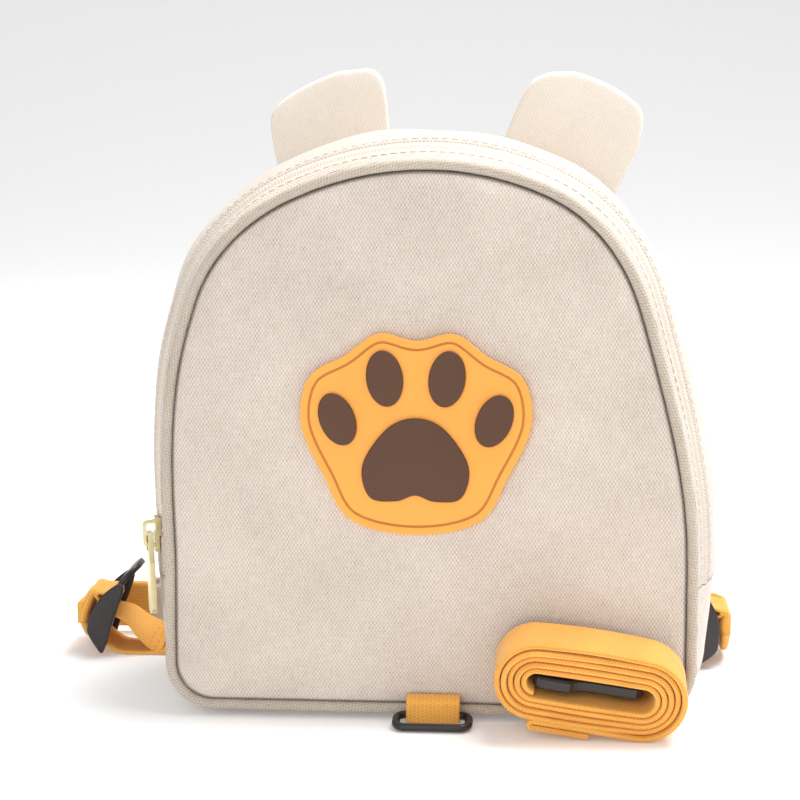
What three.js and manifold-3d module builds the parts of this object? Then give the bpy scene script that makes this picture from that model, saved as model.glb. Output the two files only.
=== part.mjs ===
// A child's small canvas backpack with two ears, standing on its base, with its webbing leash rolled up in
// front of it. Millimetres, +Z up, +X to the right as seen from the front, -Y towards the viewer. The origin
// is the middle of the base, on the surface that the bag stands on.
import * as THREE from "three";
import { LoftGeometry } from "three/addons/geometries/LoftGeometry.js";
import { mergeVertices } from "three/addons/utils/BufferGeometryUtils.js";
import Module from "manifold-3d";

const wasm = await Module();
wasm.setup();

// Bag: the outline that the piping follows, and the depth between the front and back seams
const OUTLINE_WIDTH = 195;
const OUTLINE_HEIGHT = 202.5;
const CORNER_RADIUS = 16;
const BASE_DEPTH = 80;
const TOP_DEPTH = 68;
const CANVAS = 1.8; // padded canvas wall
const GAP = 0.3; // left between pieces that touch
const SIDE_BULGE = 11; // how far the gusset swells past the seams
const BASE_BULGE = 6.5; // before the base is pressed flat by what it stands on
const BULGE_HEIGHT = 62; // height at which the sides have swollen fully
const BULGE_POWER = 1.8; // how square the swell is across the gusset
const PIPING_RADIUS = 2;
const PIPING_FLOOR_GAP = 2.4;
const SWAY = 5.6; // how far the upper part leans to the left
const TOP_TILT = 0.03; // slope of the arch's top, higher on the right
const PIPING_SIDES = 8;
const FRONT_CROWN = 8.5; // how far the front panel stands out in its middle
const BACK_CROWN = 4;
const PANEL_MIDDLE = 0.47; // height of the panels' middle, as a share of the outline's height

// Zip
const ZIP_SETBACK = 10; // from the front seam to the zip
const ZIP_WIDTH = 7;
const ZIP_TAPE = 0.9;
const ZIP_SUNK = 0.7; // how far the tape lies below the canvas
const ZIP_END_HEIGHT = 50;
const COIL_WIDTH = 3;
const COIL_HEIGHT = 1.2;

// Slider and pull
const SLIDER_HEIGHT = 66;
const SLIDER_LENGTH = 14;
const SLIDER_WIDTH = 6.6;
const SLIDER_PLATE = 1.5;
const SLIDER_FLANGE = 0.8;
const BRIDGE_WIDTH = 2.2;
const BRIDGE_METAL = 1.2;
const BRIDGE_LENGTH = 10.4;
const BRIDGE_OPENING = 3.3;
const PULL_LENGTH = 31; // from the bar's middle to the tip
const PULL_WIDTH = 7;
const PULL_THICKNESS = 2.1;
const PULL_WINDOW_WIDTH = 3.4;
const PULL_WINDOW_LENGTH = 6.4; // from the bar's middle
const PULL_BAR = 1.6; // the bar at its top, square in section

// Ears
const EAR_WIDTH = 47;
const EAR_HEIGHT = 41; // above the seam at the ear's middle
const EAR_THICKNESS = 3.4;
const EAR_SOFTNESS = 1.1; // rounding of the ear's edge
const EAR_GAP = 0.5; // between the ear's foot and the outline

// Badge: a soft paw print badge on the front panel
const BADGE_X = -4.7;
const BADGE_HEIGHT = 109.4; // height of its middle
const BADGE_HALF_WIDTH = 42.2;
const BADGE_HALF_HEIGHT = 37;
const BADGE_PLATE = 1.2;
const BADGE_FIELD = 0.9; // rim and field above the plate
const BADGE_RIM = 2.8;
const BADGE_GROOVE = 0.7;
const PAD_THICKNESS = 1.3;

// Ring at the bottom of the front, and its webbing loop
const RING_X = 2;
const RING_WIDTH = 27; // between the middles of its two arms
const RING_REACH = 10.5; // between the middles of its back and front bars
const RING_CORNER = 3.4;
const RING_RADIUS = 1.5;
const LOOP_WEBBING_WIDTH = 20;
const LOOP_WEBBING = 1.2;
const LOOP_TOP = 9.5; // height at which the loop leaves the seam

// Leash
const LEASH_WIDTH = 20;
const LEASH_WEBBING = 2.1;
const LEASH_PITCH = 2.45; // from one layer of the roll to the next
const LEASH_X = 59.5; // middle of the roll
const LEASH_STANDOFF = 16; // from the front seam at the base to the middle of the roll
const LEASH_Z = 21.3;
const LEASH_TILT = 9; // degrees, the roll's left end is higher
const LEASH_TIP = 10; // degrees, its top leans forwards
const LEASH_TURNS = 5;
const LEASH_SPACING = 39; // between the middles of the roll's two round ends
const LEASH_CORE = 6; // height of the slot in its middle
const LEASH_BELLY = 0.9; // how far the long sides of the roll bow out
const LEASH_FOLD_FROM = 18; // the folded end under the roll, leftwards from the roll's middle
const LEASH_FOLD_TO = -3;
const HOOK_THICKNESS = 4.6;
const HOOK_WIDTH = 18;
const HOOK_LENGTH = 41;
const HOOK_BEVEL = 0.7;

// Shoulder straps, their webbing and ladder locks
const STRAP_WIDTH = 38;
const STRAP_END_WIDTH = 24;
const STRAP_THICKNESS = 6;
const STRAP_BOW = 34; // how far the straps' middles bow out behind the back seam
const STRAP_TURN = 22; // radius of the turn at a strap's lower end, to its middle
const STRAP_END_BACK = 31.5; // from the back seam to a strap's lower end
const WEBBING_WIDTH = 20;
const WEBBING = 1.5;
const WEBBING_SETBACK = 6; // from the back seam to the middle of the webbing's width
const TAIL_LENGTH = 26; // of the webbing past the lock, seen from the front
const LOCK_WIDTH = 28.4;
const LOCK_RAIL_WIDTH = 3.4;
const LOCK_BAR_RADIUS = 1.6;
const LOCK_BAR_SPACING = 8;
const LOCK_TAB = 2.4; // thickness of the tab at the lock's top

const CANVAS_COLOUR = 0xe6dacb;
const ORANGE = 0xf2a74a;
const BADGE_ORANGE = 0xf6a94c;
const BROWN = 0x6b4632;
const BLACK = 0x1c1a1c;
const BRASS = 0xe8e2c8;

const DEGREE = Math.PI / 180;
const BASE_LINE = PIPING_FLOOR_GAP + PIPING_RADIUS; // height of the outline's lowest stretch
const HALF_WIDTH = OUTLINE_WIDTH / 2;
const BACK_SEAM = BASE_DEPTH / 2;
const WEBBING_Y = BACK_SEAM + WEBBING_SETBACK;

const bag = new THREE.Group();
const point = (x, y, z) => new THREE.Vector3(x, y, z);
const mix = THREE.MathUtils.lerp;

function finish(colour, roughness, metalness = 0) {
  return new THREE.MeshStandardMaterial({ color: colour, roughness, metalness });
}
const canvas = finish(CANVAS_COLOUR, 0.9);
const orangeWebbing = finish(ORANGE, 0.85);
const badgeRubber = finish(BADGE_ORANGE, 0.5);
const brownRubber = finish(BROWN, 0.5);
const blackPlastic = finish(BLACK, 0.4);
const paleBrass = finish(BRASS, 0.3, 0.9);

function add(name, geometry, material, parent = bag) {
  const mesh = new THREE.Mesh(geometry, material);
  mesh.name = name;
  parent.add(mesh);
  return mesh;
}

// Turns a geometry's faces round if they point inwards.
function facingOut(geometry) {
  const at = geometry.getAttribute("position");
  const index = geometry.index.array;
  const corners = [point(0, 0, 0), point(0, 0, 0), point(0, 0, 0)];
  let volume = 0;
  for (let i = 0; i < index.length; i += 3) {
    corners.forEach((corner, j) => corner.fromBufferAttribute(at, index[i + j]));
    volume += corners[0].dot(corners[1].clone().cross(corners[2]));
  }
  if (volume < 0) {
    for (let i = 0; i < index.length; i += 3) {
      [index[i + 1], index[i + 2]] = [index[i + 2], index[i + 1]];
    }
  }
  geometry.computeVertexNormals();
  return geometry;
}

// Skins closed sections, with the two ends capped.
function loft(sections) {
  return facingOut(new LoftGeometry(sections, { closed: true, capStart: true, capEnd: true }));
}

// Skins closed sections round a ring, or from a point to a point.
function looseLoft(sections) {
  return facingOut(new LoftGeometry(sections, { closed: true }));
}

function loftedRing(sections) {
  return looseLoft([...sections, sections[0]]);
}

// A geometry as a solid for joining and cutting.
function solidOf(geometry) {
  const bare = geometry.index ? geometry.toNonIndexed() : geometry.clone();
  bare.deleteAttribute("normal");
  bare.deleteAttribute("uv");
  const merged = mergeVertices(bare, 1e-4);
  return new wasm.Manifold(
    new wasm.Mesh({
      numProp: 3,
      vertProperties: new Float32Array(merged.getAttribute("position").array),
      triVerts: new Uint32Array(merged.index.array),
    }),
  );
}

function geometryOf(solid) {
  const mesh = solid.getMesh();
  const geometry = new THREE.BufferGeometry();
  geometry.setAttribute("position", new THREE.BufferAttribute(mesh.vertProperties, 3));
  geometry.setIndex(new THREE.BufferAttribute(mesh.triVerts, 1));
  geometry.computeVertexNormals();
  return geometry;
}

function joined(geometries) {
  return geometryOf(geometries.map(solidOf).reduce((all, next) => all.add(next)));
}

// The outline

// The arch, from its top down one side: each arc's radius as a share of the half width, and its turn.
const ARCH = [
  { radius: 1.18, turn: 25 },
  { radius: 0.68, turn: 47 },
  { radius: 2.88, turn: 18 },
];
const ARC_STEP = 8; // degrees
const CORNER_STEP = 18;
const LINE_STEP = 21; // mm

// The right half of the outline, from the middle of the base up to the top, as arcs and lines.
function halfOutline() {
  const parts = [];
  const line = (x0, z0, x1, z1, nx, nz) => {
    const length = Math.hypot(x1 - x0, z1 - z0);
    const at = (share) => ({ x: mix(x0, x1, share), z: mix(z0, z1, share), nx, nz });
    parts.push({ length, steps: Math.max(1, Math.round(length / LINE_STEP)), at });
  };
  // Angles are those of the normal, clockwise from straight up.
  const arc = (cx, cz, radius, from, to, step) => {
    const at = (share) => {
      const angle = mix(from, to, share) * DEGREE;
      const nx = Math.sin(angle);
      const nz = Math.cos(angle);
      return { x: cx + radius * nx, z: cz + radius * nz, nx, nz };
    };
    const turn = Math.abs(to - from);
    parts.push({ length: radius * turn * DEGREE, steps: Math.round(turn / step), at });
  };
  const arcs = [];
  let x = 0;
  let drop = 0;
  let angle = 0;
  for (const { radius, turn } of ARCH) {
    const from = angle * DEGREE;
    const to = (angle + turn) * DEGREE;
    arcs.unshift({ radius, from: angle, to: angle + turn, x, drop });
    x += radius * (Math.sin(to) - Math.sin(from));
    drop += radius * (Math.cos(from) - Math.cos(to));
    angle += turn;
  }
  const scale = HALF_WIDTH / x;
  const top = BASE_LINE + OUTLINE_HEIGHT;
  const corner = HALF_WIDTH - CORNER_RADIUS;
  const cornerTop = BASE_LINE + CORNER_RADIUS;
  line(0, BASE_LINE, corner, BASE_LINE, 0, -1);
  arc(corner, cornerTop, CORNER_RADIUS, 180, 90, CORNER_STEP);
  line(HALF_WIDTH, cornerTop, HALF_WIDTH, top - drop * scale, 1, 0);
  for (const part of arcs) {
    const radius = part.radius * scale;
    const cx = part.x * scale - radius * Math.sin(part.from * DEGREE);
    const cz = top - part.drop * scale - radius * Math.cos(part.from * DEGREE);
    arc(cx, cz, radius, part.to, part.from, ARC_STEP);
  }
  return parts;
}
const HALF = halfOutline();
const HALF_LENGTH = HALF.reduce((sum, part) => sum + part.length, 0);
const PERIMETER = 2 * HALF_LENGTH;

// The symmetrical outline's point and outward normal at a length along it from the middle of the base,
// going right.
function evenOutlineAt(length) {
  if (length > HALF_LENGTH) {
    const twin = evenOutlineAt(PERIMETER - length);
    return { x: -twin.x, z: twin.z, nx: -twin.nx, nz: twin.nz };
  }
  let left = Math.max(0, length);
  for (const part of HALF) {
    if (left <= part.length) return part.at(left / part.length);
    left -= part.length;
  }
  return HALF[HALF.length - 1].at(1);
}

// The filled bag stands a little askew: its upper part leans to the left, and the arch is higher on the
// right.
const SWAY_START = 0.25; // shares of the outline's height
const SWAY_END = 0.7;
const TILT_START = 0.75;
function outlineAt(length) {
  const { x, z, nx, nz } = evenOutlineAt(length);
  const share = (z - BASE_LINE) / OUTLINE_HEIGHT;
  const sway = SWAY * THREE.MathUtils.smoothstep(share, SWAY_START, SWAY_END);
  const tilt = TOP_TILT * x * THREE.MathUtils.smoothstep(share, TILT_START, 1);
  return { x: x - sway, z: z + tilt, nx, nz };
}

// The lengths at which the pieces round the bag have their sections.
const MARKS = [];
{
  let start = 0;
  for (const part of HALF) {
    for (let i = 0; i < part.steps; i++) MARKS.push(start + (part.length * i) / part.steps);
    start += part.length;
  }
  MARKS.push(HALF_LENGTH);
  MARKS.push(...MARKS.slice(1, -1).reverse().map((length) => PERIMETER - length));
}
const marksBetween = (from, to) => [from, ...MARKS.filter((m) => m > from + 1 && m < to - 1), to];

// The length along the outline, on its right side, where it passes a height under the arch.
function lengthAtHeight(height) {
  let low = HALF[0].length;
  let high = HALF_LENGTH;
  for (let i = 0; i < 40; i++) {
    const middle = (low + high) / 2;
    if (evenOutlineAt(middle).z < height) low = middle;
    else high = middle;
  }
  return low;
}

// The front seam leans back from the base to the top.
const frontSeam = (z) => -BACK_SEAM + ((BASE_DEPTH - TOP_DEPTH) * (z - BASE_LINE)) / OUTLINE_HEIGHT;

// A point of the gusset, a distance behind the front seam, lifted off its outer face.
function gussetPoint(length, distance, lift) {
  const { x, z, nx, nz } = outlineAt(length);
  const front = frontSeam(z);
  const share = THREE.MathUtils.clamp(distance / (BACK_SEAM - front), 0, 1);
  const fullness = 1 - Math.abs(2 * share - 1) ** BULGE_POWER;
  const rise = THREE.MathUtils.smoothstep(z, 0, BULGE_HEIGHT);
  const out = mix(BASE_BULGE, SIDE_BULGE, rise) * fullness + lift;
  return point(x + nx * out, front + distance, Math.max(z + nz * out, -lift));
}
const depthAt = (length) => BACK_SEAM - frontSeam(outlineAt(length).z);

// Gusset pieces

// A canvas strip of the gusset between two lengths, from one distance behind the front seam to another.
function gussetStrip(from, to, near, far, columns) {
  const sections = marksBetween(from, to).map((length) => {
    const start = near(length);
    const end = far(length);
    const outer = [];
    const inner = [];
    for (let i = 0; i <= columns; i++) {
      const distance = mix(start, end, i / columns);
      outer.push(gussetPoint(length, distance, 0));
      inner.unshift(gussetPoint(length, distance, -CANVAS));
    }
    return [...outer, ...inner];
  });
  return loft(sections);
}
const ZIP_START = lengthAtHeight(ZIP_END_HEIGHT);
const ZIP_END = PERIMETER - ZIP_START;
const SEAM_EDGE = PIPING_RADIUS + GAP;
const STRIP_COLUMNS = 2;
const REAR_COLUMNS = 6;
const BASE_COLUMNS = 8;
const atSeam = () => SEAM_EDGE;
const atBack = (length) => depthAt(length) - GAP;

function zipGussetFront() {
  return gussetStrip(ZIP_START, ZIP_END, atSeam, () => ZIP_SETBACK, STRIP_COLUMNS);
}

function zipGussetRear() {
  return gussetStrip(ZIP_START, ZIP_END, () => ZIP_SETBACK + ZIP_WIDTH, atBack, REAR_COLUMNS);
}

// The base gusset runs from one end of the zip round the base to the other, so its lengths pass through 0.
function baseGusset() {
  const reach = ZIP_START - GAP;
  const marks = [
    ...marksBetween(PERIMETER - reach, PERIMETER).slice(0, -1),
    ...marksBetween(0, reach),
  ];
  const sections = marks.map((length) => {
    const outer = [];
    const inner = [];
    for (let i = 0; i <= BASE_COLUMNS; i++) {
      const distance = mix(SEAM_EDGE, atBack(length), i / BASE_COLUMNS);
      outer.push(gussetPoint(length, distance, 0));
      inner.unshift(gussetPoint(length, distance, -CANVAS));
    }
    return [...outer, ...inner];
  });
  return loft(sections);
}

// The closed zip: a tape with the coil standing out along its middle.
function zipChain() {
  const near = ZIP_SETBACK + GAP;
  const far = ZIP_SETBACK + ZIP_WIDTH - GAP;
  const middle = (near + far) / 2;
  const coil = COIL_WIDTH / 2;
  const sections = marksBetween(ZIP_START, ZIP_END).map((length) => [
    gussetPoint(length, near, -ZIP_SUNK),
    gussetPoint(length, middle - coil, -ZIP_SUNK),
    gussetPoint(length, middle - coil / 2, COIL_HEIGHT - ZIP_SUNK),
    gussetPoint(length, middle + coil / 2, COIL_HEIGHT - ZIP_SUNK),
    gussetPoint(length, middle + coil, -ZIP_SUNK),
    gussetPoint(length, far, -ZIP_SUNK),
    gussetPoint(length, far, -ZIP_SUNK - ZIP_TAPE),
    gussetPoint(length, near, -ZIP_SUNK - ZIP_TAPE),
  ]);
  return loft(sections);
}

// The covered cord sewn in round the front panel.
function piping() {
  const sections = MARKS.map((length) => {
    const { x, z, nx, nz } = outlineAt(length);
    const ring = [];
    for (let i = 0; i < PIPING_SIDES; i++) {
      const angle = ((i + 0.5) / PIPING_SIDES) * 2 * Math.PI;
      const out = PIPING_RADIUS * Math.cos(angle);
      ring.push(point(x + nx * out, frontSeam(z) + PIPING_RADIUS * Math.sin(angle), z + nz * out));
    }
    return ring;
  });
  return loftedRing(sections);
}

// Panels

const MIDDLE_Z = BASE_LINE + PANEL_MIDDLE * OUTLINE_HEIGHT;

// The front panel's stand, from its middle out to its edge.
const FRONT_RINGS = [
  { reach: 0, stand: 1 },
  { reach: 0.3, stand: 0.97 },
  { reach: 0.55, stand: 0.88 },
  { reach: 0.76, stand: 0.71 },
  { reach: 0.9, stand: 0.48 },
  { reach: 0.97, stand: 0.24 },
  { reach: 1, stand: 0 },
];
const BACK_RINGS = [
  { reach: 0, stand: 1 },
  { reach: 0.5, stand: 0.85 },
  { reach: 0.85, stand: 0.4 },
  { reach: 1, stand: 0 },
];

// Soft dents of the front panel. x and width are shares of the half width, z and height of the outline's
// height, and depth of the crown.
const DENTS = [
  { x: 0.34, z: 0.84, width: 0.11, height: 0.09, depth: 0.13 },
  { x: 0.56, z: 0.8, width: 0.1, height: 0.1, depth: 0.16 },
  { x: -0.47, z: 0.04, width: 0.07, height: 0.035, depth: 0.2 },
  { x: -0.17, z: 0.045, width: 0.08, height: 0.04, depth: 0.22 },
  { x: 0.62, z: 0.3, width: 0.3, height: 0.16, depth: 0.1 },
];

function dentAt(x, z) {
  return DENTS.reduce((sum, dent) => {
    const across = (x / HALF_WIDTH - dent.x) / dent.width;
    const up = ((z - BASE_LINE) / OUTLINE_HEIGHT - dent.z) / dent.height;
    return sum + dent.depth * FRONT_CROWN * Math.exp(-across * across - up * up);
  }, 0);
}

// How far out a point of a panel stands, by its reach from the middle to the edge.
function standAt(rings, reach) {
  const next = rings.findIndex((row) => row.reach >= reach);
  if (next <= 0) return next ? 0 : 1;
  const [a, b] = [rings[next - 1], rings[next]];
  return mix(a.stand, b.stand, (reach - a.reach) / (b.reach - a.reach));
}

// A panel's outline: the bag's outline, drawn in.
function panelEdge(inset) {
  return MARKS.map((length) => {
    const { x, z, nx, nz } = outlineAt(length);
    return { x: x - nx * inset, z: z - nz * inset };
  });
}
const FRONT_EDGE = panelEdge(PIPING_RADIUS + GAP);
const BACK_EDGE = panelEdge(0);

// The reach of a point of a panel: 0 in its middle, 1 on its edge.
function reachAt(panel, x, z) {
  const angle = Math.atan2(z - MIDDLE_Z, x);
  const distance = Math.hypot(x, z - MIDDLE_Z);
  let best = Infinity;
  let edge = 1;
  for (const e of panel) {
    const off = Math.abs(Math.atan2(e.z - MIDDLE_Z, e.x) - angle);
    const turn = Math.min(off, 2 * Math.PI - off);
    if (turn < best) {
      best = turn;
      edge = Math.hypot(e.x, e.z - MIDDLE_Z);
    }
  }
  return Math.min(1, distance / edge);
}

// The y of the front and back panels' outer faces.
function frontFace(x, z) {
  const stand = standAt(FRONT_RINGS, reachAt(FRONT_EDGE, x, z));
  return frontSeam(z) - CANVAS / 2 - FRONT_CROWN * stand + dentAt(x, z);
}

function backFace(x, z) {
  return BACK_SEAM + CANVAS + BACK_CROWN * standAt(BACK_RINGS, reachAt(BACK_EDGE, x, z));
}

// One face of a panel as rings of points, from its middle to its edge.
function panelRings(edge, rings, face) {
  return rings.map(({ reach, stand }) =>
    edge.map((e) => {
      const x = reach * e.x;
      const z = mix(MIDDLE_Z, e.z, reach);
      return point(x, face(x, z, stand), z);
    }),
  );
}

function frontPanel() {
  const outer = (x, z, stand) => frontSeam(z) - CANVAS / 2 - FRONT_CROWN * stand + dentAt(x, z);
  const inner = (x, z, stand) => outer(x, z, stand) + CANVAS;
  return looseLoft([
    ...panelRings(FRONT_EDGE, FRONT_RINGS, outer),
    ...panelRings(FRONT_EDGE, FRONT_RINGS, inner).reverse(),
  ]);
}

function backPanel() {
  const inner = (x, z, stand) => BACK_SEAM + BACK_CROWN * stand;
  const outer = (x, z, stand) => inner(x, z, stand) + CANVAS;
  return looseLoft([
    ...panelRings(BACK_EDGE, BACK_RINGS, inner),
    ...panelRings(BACK_EDGE, BACK_RINGS, outer).reverse(),
  ]);
}

// Ears

// Each ear's outline, from its foot's inner end over its top to its foot's outer end. middle is a share of
// the half width, out of the ear's width away from its middle, and up of its height above the seam.
const EARS = {
  left: {
    sign: -1,
    middle: 0.457,
    footIn: -0.5,
    footOut: 0.4,
    rows: [
      { out: -0.5, up: 0.42 },
      { out: -0.48, up: 0.72 },
      { out: -0.443, up: 0.907 },
      { out: -0.357, up: 0.992 },
      { out: -0.2, up: 0.985 },
      { out: -0.04, up: 0.954 },
      { out: 0.226, up: 0.82 },
      { out: 0.4, up: 0.69 },
      { out: 0.475, up: 0.59 },
      { out: 0.5, up: 0.463 },
      { out: 0.475, up: 0.22 },
      { out: 0.43, up: -0.03 },
    ],
  },
  right: {
    sign: 1,
    middle: 0.513,
    footIn: -0.62,
    footOut: 0.298,
    rows: [
      { out: -0.543, up: 0.46 },
      { out: -0.44, up: 0.75 },
      { out: -0.33, up: 0.99 },
      { out: -0.196, up: 1.085 },
      { out: -0.06, up: 1.1 },
      { out: 0.079, up: 1.09 },
      { out: 0.353, up: 0.968 },
      { out: 0.545, up: 0.82 },
      { out: 0.607, up: 0.72 },
      { out: 0.617, up: 0.607 },
      { out: 0.572, up: 0.341 },
      { out: 0.434, up: 0.024 },
    ],
  },
};
const EAR_FOOT_STEPS = 5;
const EAR_CURVE_STEPS = 24;

// The length along the outline where its upper part passes an x.
function lengthAtX(x) {
  let low = lengthAtHeight(ZIP_END_HEIGHT);
  let high = PERIMETER - low;
  for (let i = 0; i < 40; i++) {
    const middle = (low + high) / 2;
    if (outlineAt(middle).x > x) low = middle;
    else high = middle;
  }
  return low;
}

// An ear, sewn into the back seam.
function ear({ sign, middle, footIn, footOut, rows }) {
  const middleX = sign * middle * HALF_WIDTH;
  const seam = outlineAt(lengthAtX(middleX)).z;
  const from = lengthAtX(middleX + sign * footIn * EAR_WIDTH);
  const to = lengthAtX(middleX + sign * footOut * EAR_WIDTH);
  const foot = Array.from({ length: EAR_FOOT_STEPS + 1 }, (_, i) => {
    const { x, z, nx, nz } = outlineAt(mix(to, from, i / EAR_FOOT_STEPS));
    return new THREE.Vector2(x + nx * EAR_GAP, z + nz * EAR_GAP);
  });
  const knots = rows.map(
    ({ out, up }) => new THREE.Vector2(middleX + sign * out * EAR_WIDTH, seam + up * EAR_HEIGHT),
  );
  const edge = new THREE.SplineCurve([foot.at(-1), ...knots, foot[0]]).getPoints(EAR_CURVE_STEPS);
  const shape = new THREE.Shape([...edge, ...foot.slice(1, -1)]);
  return new THREE.ExtrudeGeometry(shape, {
    depth: EAR_THICKNESS - 2 * EAR_SOFTNESS,
    bevelThickness: EAR_SOFTNESS,
    bevelSize: EAR_SOFTNESS,
    bevelOffset: -EAR_SOFTNESS,
    bevelSegments: 1,
  });
}

// Badge

// The backing's outline, anticlockwise from its right: shares of the half width and half height.
const BADGE_OUTLINE = [
  { x: 1, y: 0.1 },
  { x: 0.93, y: 0.56 },
  { x: 0.62, y: 0.78 },
  { x: 0.33, y: 1 },
  { x: 0, y: 0.93 },
  { x: -0.33, y: 1 },
  { x: -0.62, y: 0.78 },
  { x: -0.93, y: 0.56 },
  { x: -1, y: 0.1 },
  { x: -0.8, y: -0.42 },
  { x: -0.56, y: -0.86 },
  { x: 0, y: -1 },
  { x: 0.56, y: -0.86 },
  { x: 0.8, y: -0.42 },
];
// The large pad's outline, in the same shares, and the toes: middle, half sizes and turn in degrees.
const PAD_OUTLINE = [
  { x: 0.46, y: -0.3 },
  { x: 0.25, y: 0.06 },
  { x: 0, y: 0.17 },
  { x: -0.25, y: 0.06 },
  { x: -0.46, y: -0.3 },
  { x: -0.4, y: -0.62 },
  { x: -0.17, y: -0.66 },
  { x: 0, y: -0.6 },
  { x: 0.17, y: -0.66 },
  { x: 0.4, y: -0.62 },
];
const TOES = [
  { x: -0.68, y: 0.15, width: 0.155, height: 0.27, turn: 22 },
  { x: -0.27, y: 0.56, width: 0.16, height: 0.28, turn: 8 },
  { x: 0.27, y: 0.56, width: 0.16, height: 0.28, turn: -8 },
  { x: 0.68, y: 0.15, width: 0.155, height: 0.27, turn: -22 },
];
const BADGE_POINTS = 44;
const PAD_POINTS = 30;
const TOE_POINTS = 20;

// A smooth closed outline through a table's rows.
function smoothOutline(rows, points) {
  const knots = rows.map((row) => point(row.x * BADGE_HALF_WIDTH, row.y * BADGE_HALF_HEIGHT, 0));
  return new THREE.CatmullRomCurve3(knots, true).getSpacedPoints(points).slice(0, -1);
}

// An anticlockwise outline drawn in by a distance, as a shape.
function drawnIn(outline, inset) {
  const corners = outline.map((p, i) => {
    const before = outline.at(i - 1);
    const after = outline[(i + 1) % outline.length];
    const along = after.clone().sub(before).normalize();
    return new THREE.Vector2(p.x - along.y * inset, p.y + along.x * inset);
  });
  return new THREE.Shape(corners);
}

const SHAPE_CURVE_STEPS = 5;
function extruded(shape, depth) {
  return new THREE.ExtrudeGeometry(shape, { depth, bevelEnabled: false, curveSegments: SHAPE_CURVE_STEPS });
}

// A low pad with a rounded edge.
const PAD_EDGE = 0.4;
function raisedPad(shape) {
  return new THREE.ExtrudeGeometry(shape, {
    depth: PAD_THICKNESS - PAD_EDGE,
    bevelThickness: PAD_EDGE,
    bevelSize: PAD_EDGE,
    bevelOffset: -PAD_EDGE,
    bevelSegments: 1,
  }).translate(0, 0, PAD_EDGE);
}

function badgeBacking() {
  const outline = smoothOutline(BADGE_OUTLINE, BADGE_POINTS);
  const rim = drawnIn(outline, 0);
  rim.holes.push(new THREE.Path(drawnIn(outline, BADGE_RIM).getPoints().reverse()));
  const sunk = BADGE_PLATE / 2;
  const field = drawnIn(outline, BADGE_RIM + BADGE_GROOVE);
  return joined([
    extruded(drawnIn(outline, 0), BADGE_PLATE),
    extruded(rim, BADGE_FIELD + sunk).translate(0, 0, BADGE_PLATE - sunk),
    extruded(field, BADGE_FIELD + sunk).translate(0, 0, BADGE_PLATE - sunk),
  ]);
}

function toeShape({ x, y, width, height, turn }) {
  const toe = new THREE.EllipseCurve(
    x * BADGE_HALF_WIDTH,
    y * BADGE_HALF_HEIGHT,
    width * BADGE_HALF_WIDTH,
    height * BADGE_HALF_HEIGHT,
    0,
    2 * Math.PI,
    false,
    turn * DEGREE,
  );
  return new THREE.Shape(toe.getPoints(TOE_POINTS).slice(0, -1));
}

// The flat badge stands clear of the crowned panel behind it.
const LEAN = Math.atan((BASE_DEPTH - TOP_DEPTH) / OUTLINE_HEIGHT);
function badgeStand() {
  let stand = Infinity;
  for (let i = -4; i <= 4; i++) {
    for (let j = -4; j <= 4; j++) {
      const x = BADGE_X + (BADGE_HALF_WIDTH * i) / 4;
      const up = (BADGE_HALF_HEIGHT * j) / 4;
      stand = Math.min(stand, frontFace(x, BADGE_HEIGHT + up) - up * Math.tan(LEAN));
    }
  }
  return stand - GAP;
}

// Zip slider and pull. Both are drawn with x up the zip, y towards the bag's back and z away from the canvas.

function box(width, depth, height, x, y, z) {
  return new THREE.BoxGeometry(width, depth, height).translate(x, y, z);
}

const PLATE_LOW = GAP; // the plate's underside, from the top of the coil
const PLATE_TOP = PLATE_LOW + SLIDER_PLATE;
const BAR_LIFT = PLATE_TOP + BRIDGE_OPENING / 2;
const FLANGE_DROP = COIL_HEIGHT * 0.7;
const SLIDER_NOSE = 0.62; // width of the slider's lower end, as a share

function sliderSolid() {
  const half = SLIDER_LENGTH / 2;
  const wide = SLIDER_WIDTH / 2;
  const narrow = wide * SLIDER_NOSE;
  const plate = new THREE.Shape();
  plate.moveTo(-half, -narrow);
  plate.quadraticCurveTo(-half * 0.2, -narrow, half * 0.2, -wide);
  plate.lineTo(half * 0.75, -wide);
  plate.quadraticCurveTo(half, -wide * 0.9, half, 0);
  plate.quadraticCurveTo(half, wide * 0.9, half * 0.75, wide);
  plate.lineTo(half * 0.2, wide);
  plate.quadraticCurveTo(-half * 0.2, narrow, -half, narrow);
  const top = extruded(plate, SLIDER_PLATE);
  const flange = (side) => box(
    half,
    SLIDER_FLANGE,
    FLANGE_DROP + SLIDER_PLATE,
    half * 0.4,
    side * (wide - SLIDER_FLANGE * 0.6),
    PLATE_TOP - (FLANGE_DROP + SLIDER_PLATE) / 2,
  );
  const long = BRIDGE_LENGTH / 2;
  const high = BRIDGE_OPENING;
  const arch = new THREE.Shape();
  arch.moveTo(-long, -SLIDER_PLATE / 2);
  arch.lineTo(long, -SLIDER_PLATE / 2);
  arch.lineTo(long, high * 0.5);
  arch.quadraticCurveTo(long, high + BRIDGE_METAL, long * 0.55, high + BRIDGE_METAL);
  arch.lineTo(-long * 0.55, high + BRIDGE_METAL);
  arch.quadraticCurveTo(-long, high + BRIDGE_METAL, -long, high * 0.5);
  arch.closePath();
  const inside = new THREE.Path();
  const reach = long - BRIDGE_METAL;
  inside.moveTo(-reach, 0);
  inside.lineTo(-reach, high * 0.5);
  inside.quadraticCurveTo(-reach, high, -reach * 0.55, high);
  inside.lineTo(reach * 0.55, high);
  inside.quadraticCurveTo(reach, high, reach, high * 0.5);
  inside.lineTo(reach, 0);
  inside.closePath();
  arch.holes.push(inside);
  const bridge = extruded(arch, BRIDGE_WIDTH)
    .rotateX(Math.PI / 2)
    .translate(0, BRIDGE_WIDTH / 2, PLATE_TOP);
  return joined([top.translate(0, 0, PLATE_LOW), flange(1), flange(-1), bridge]);
}

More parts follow.
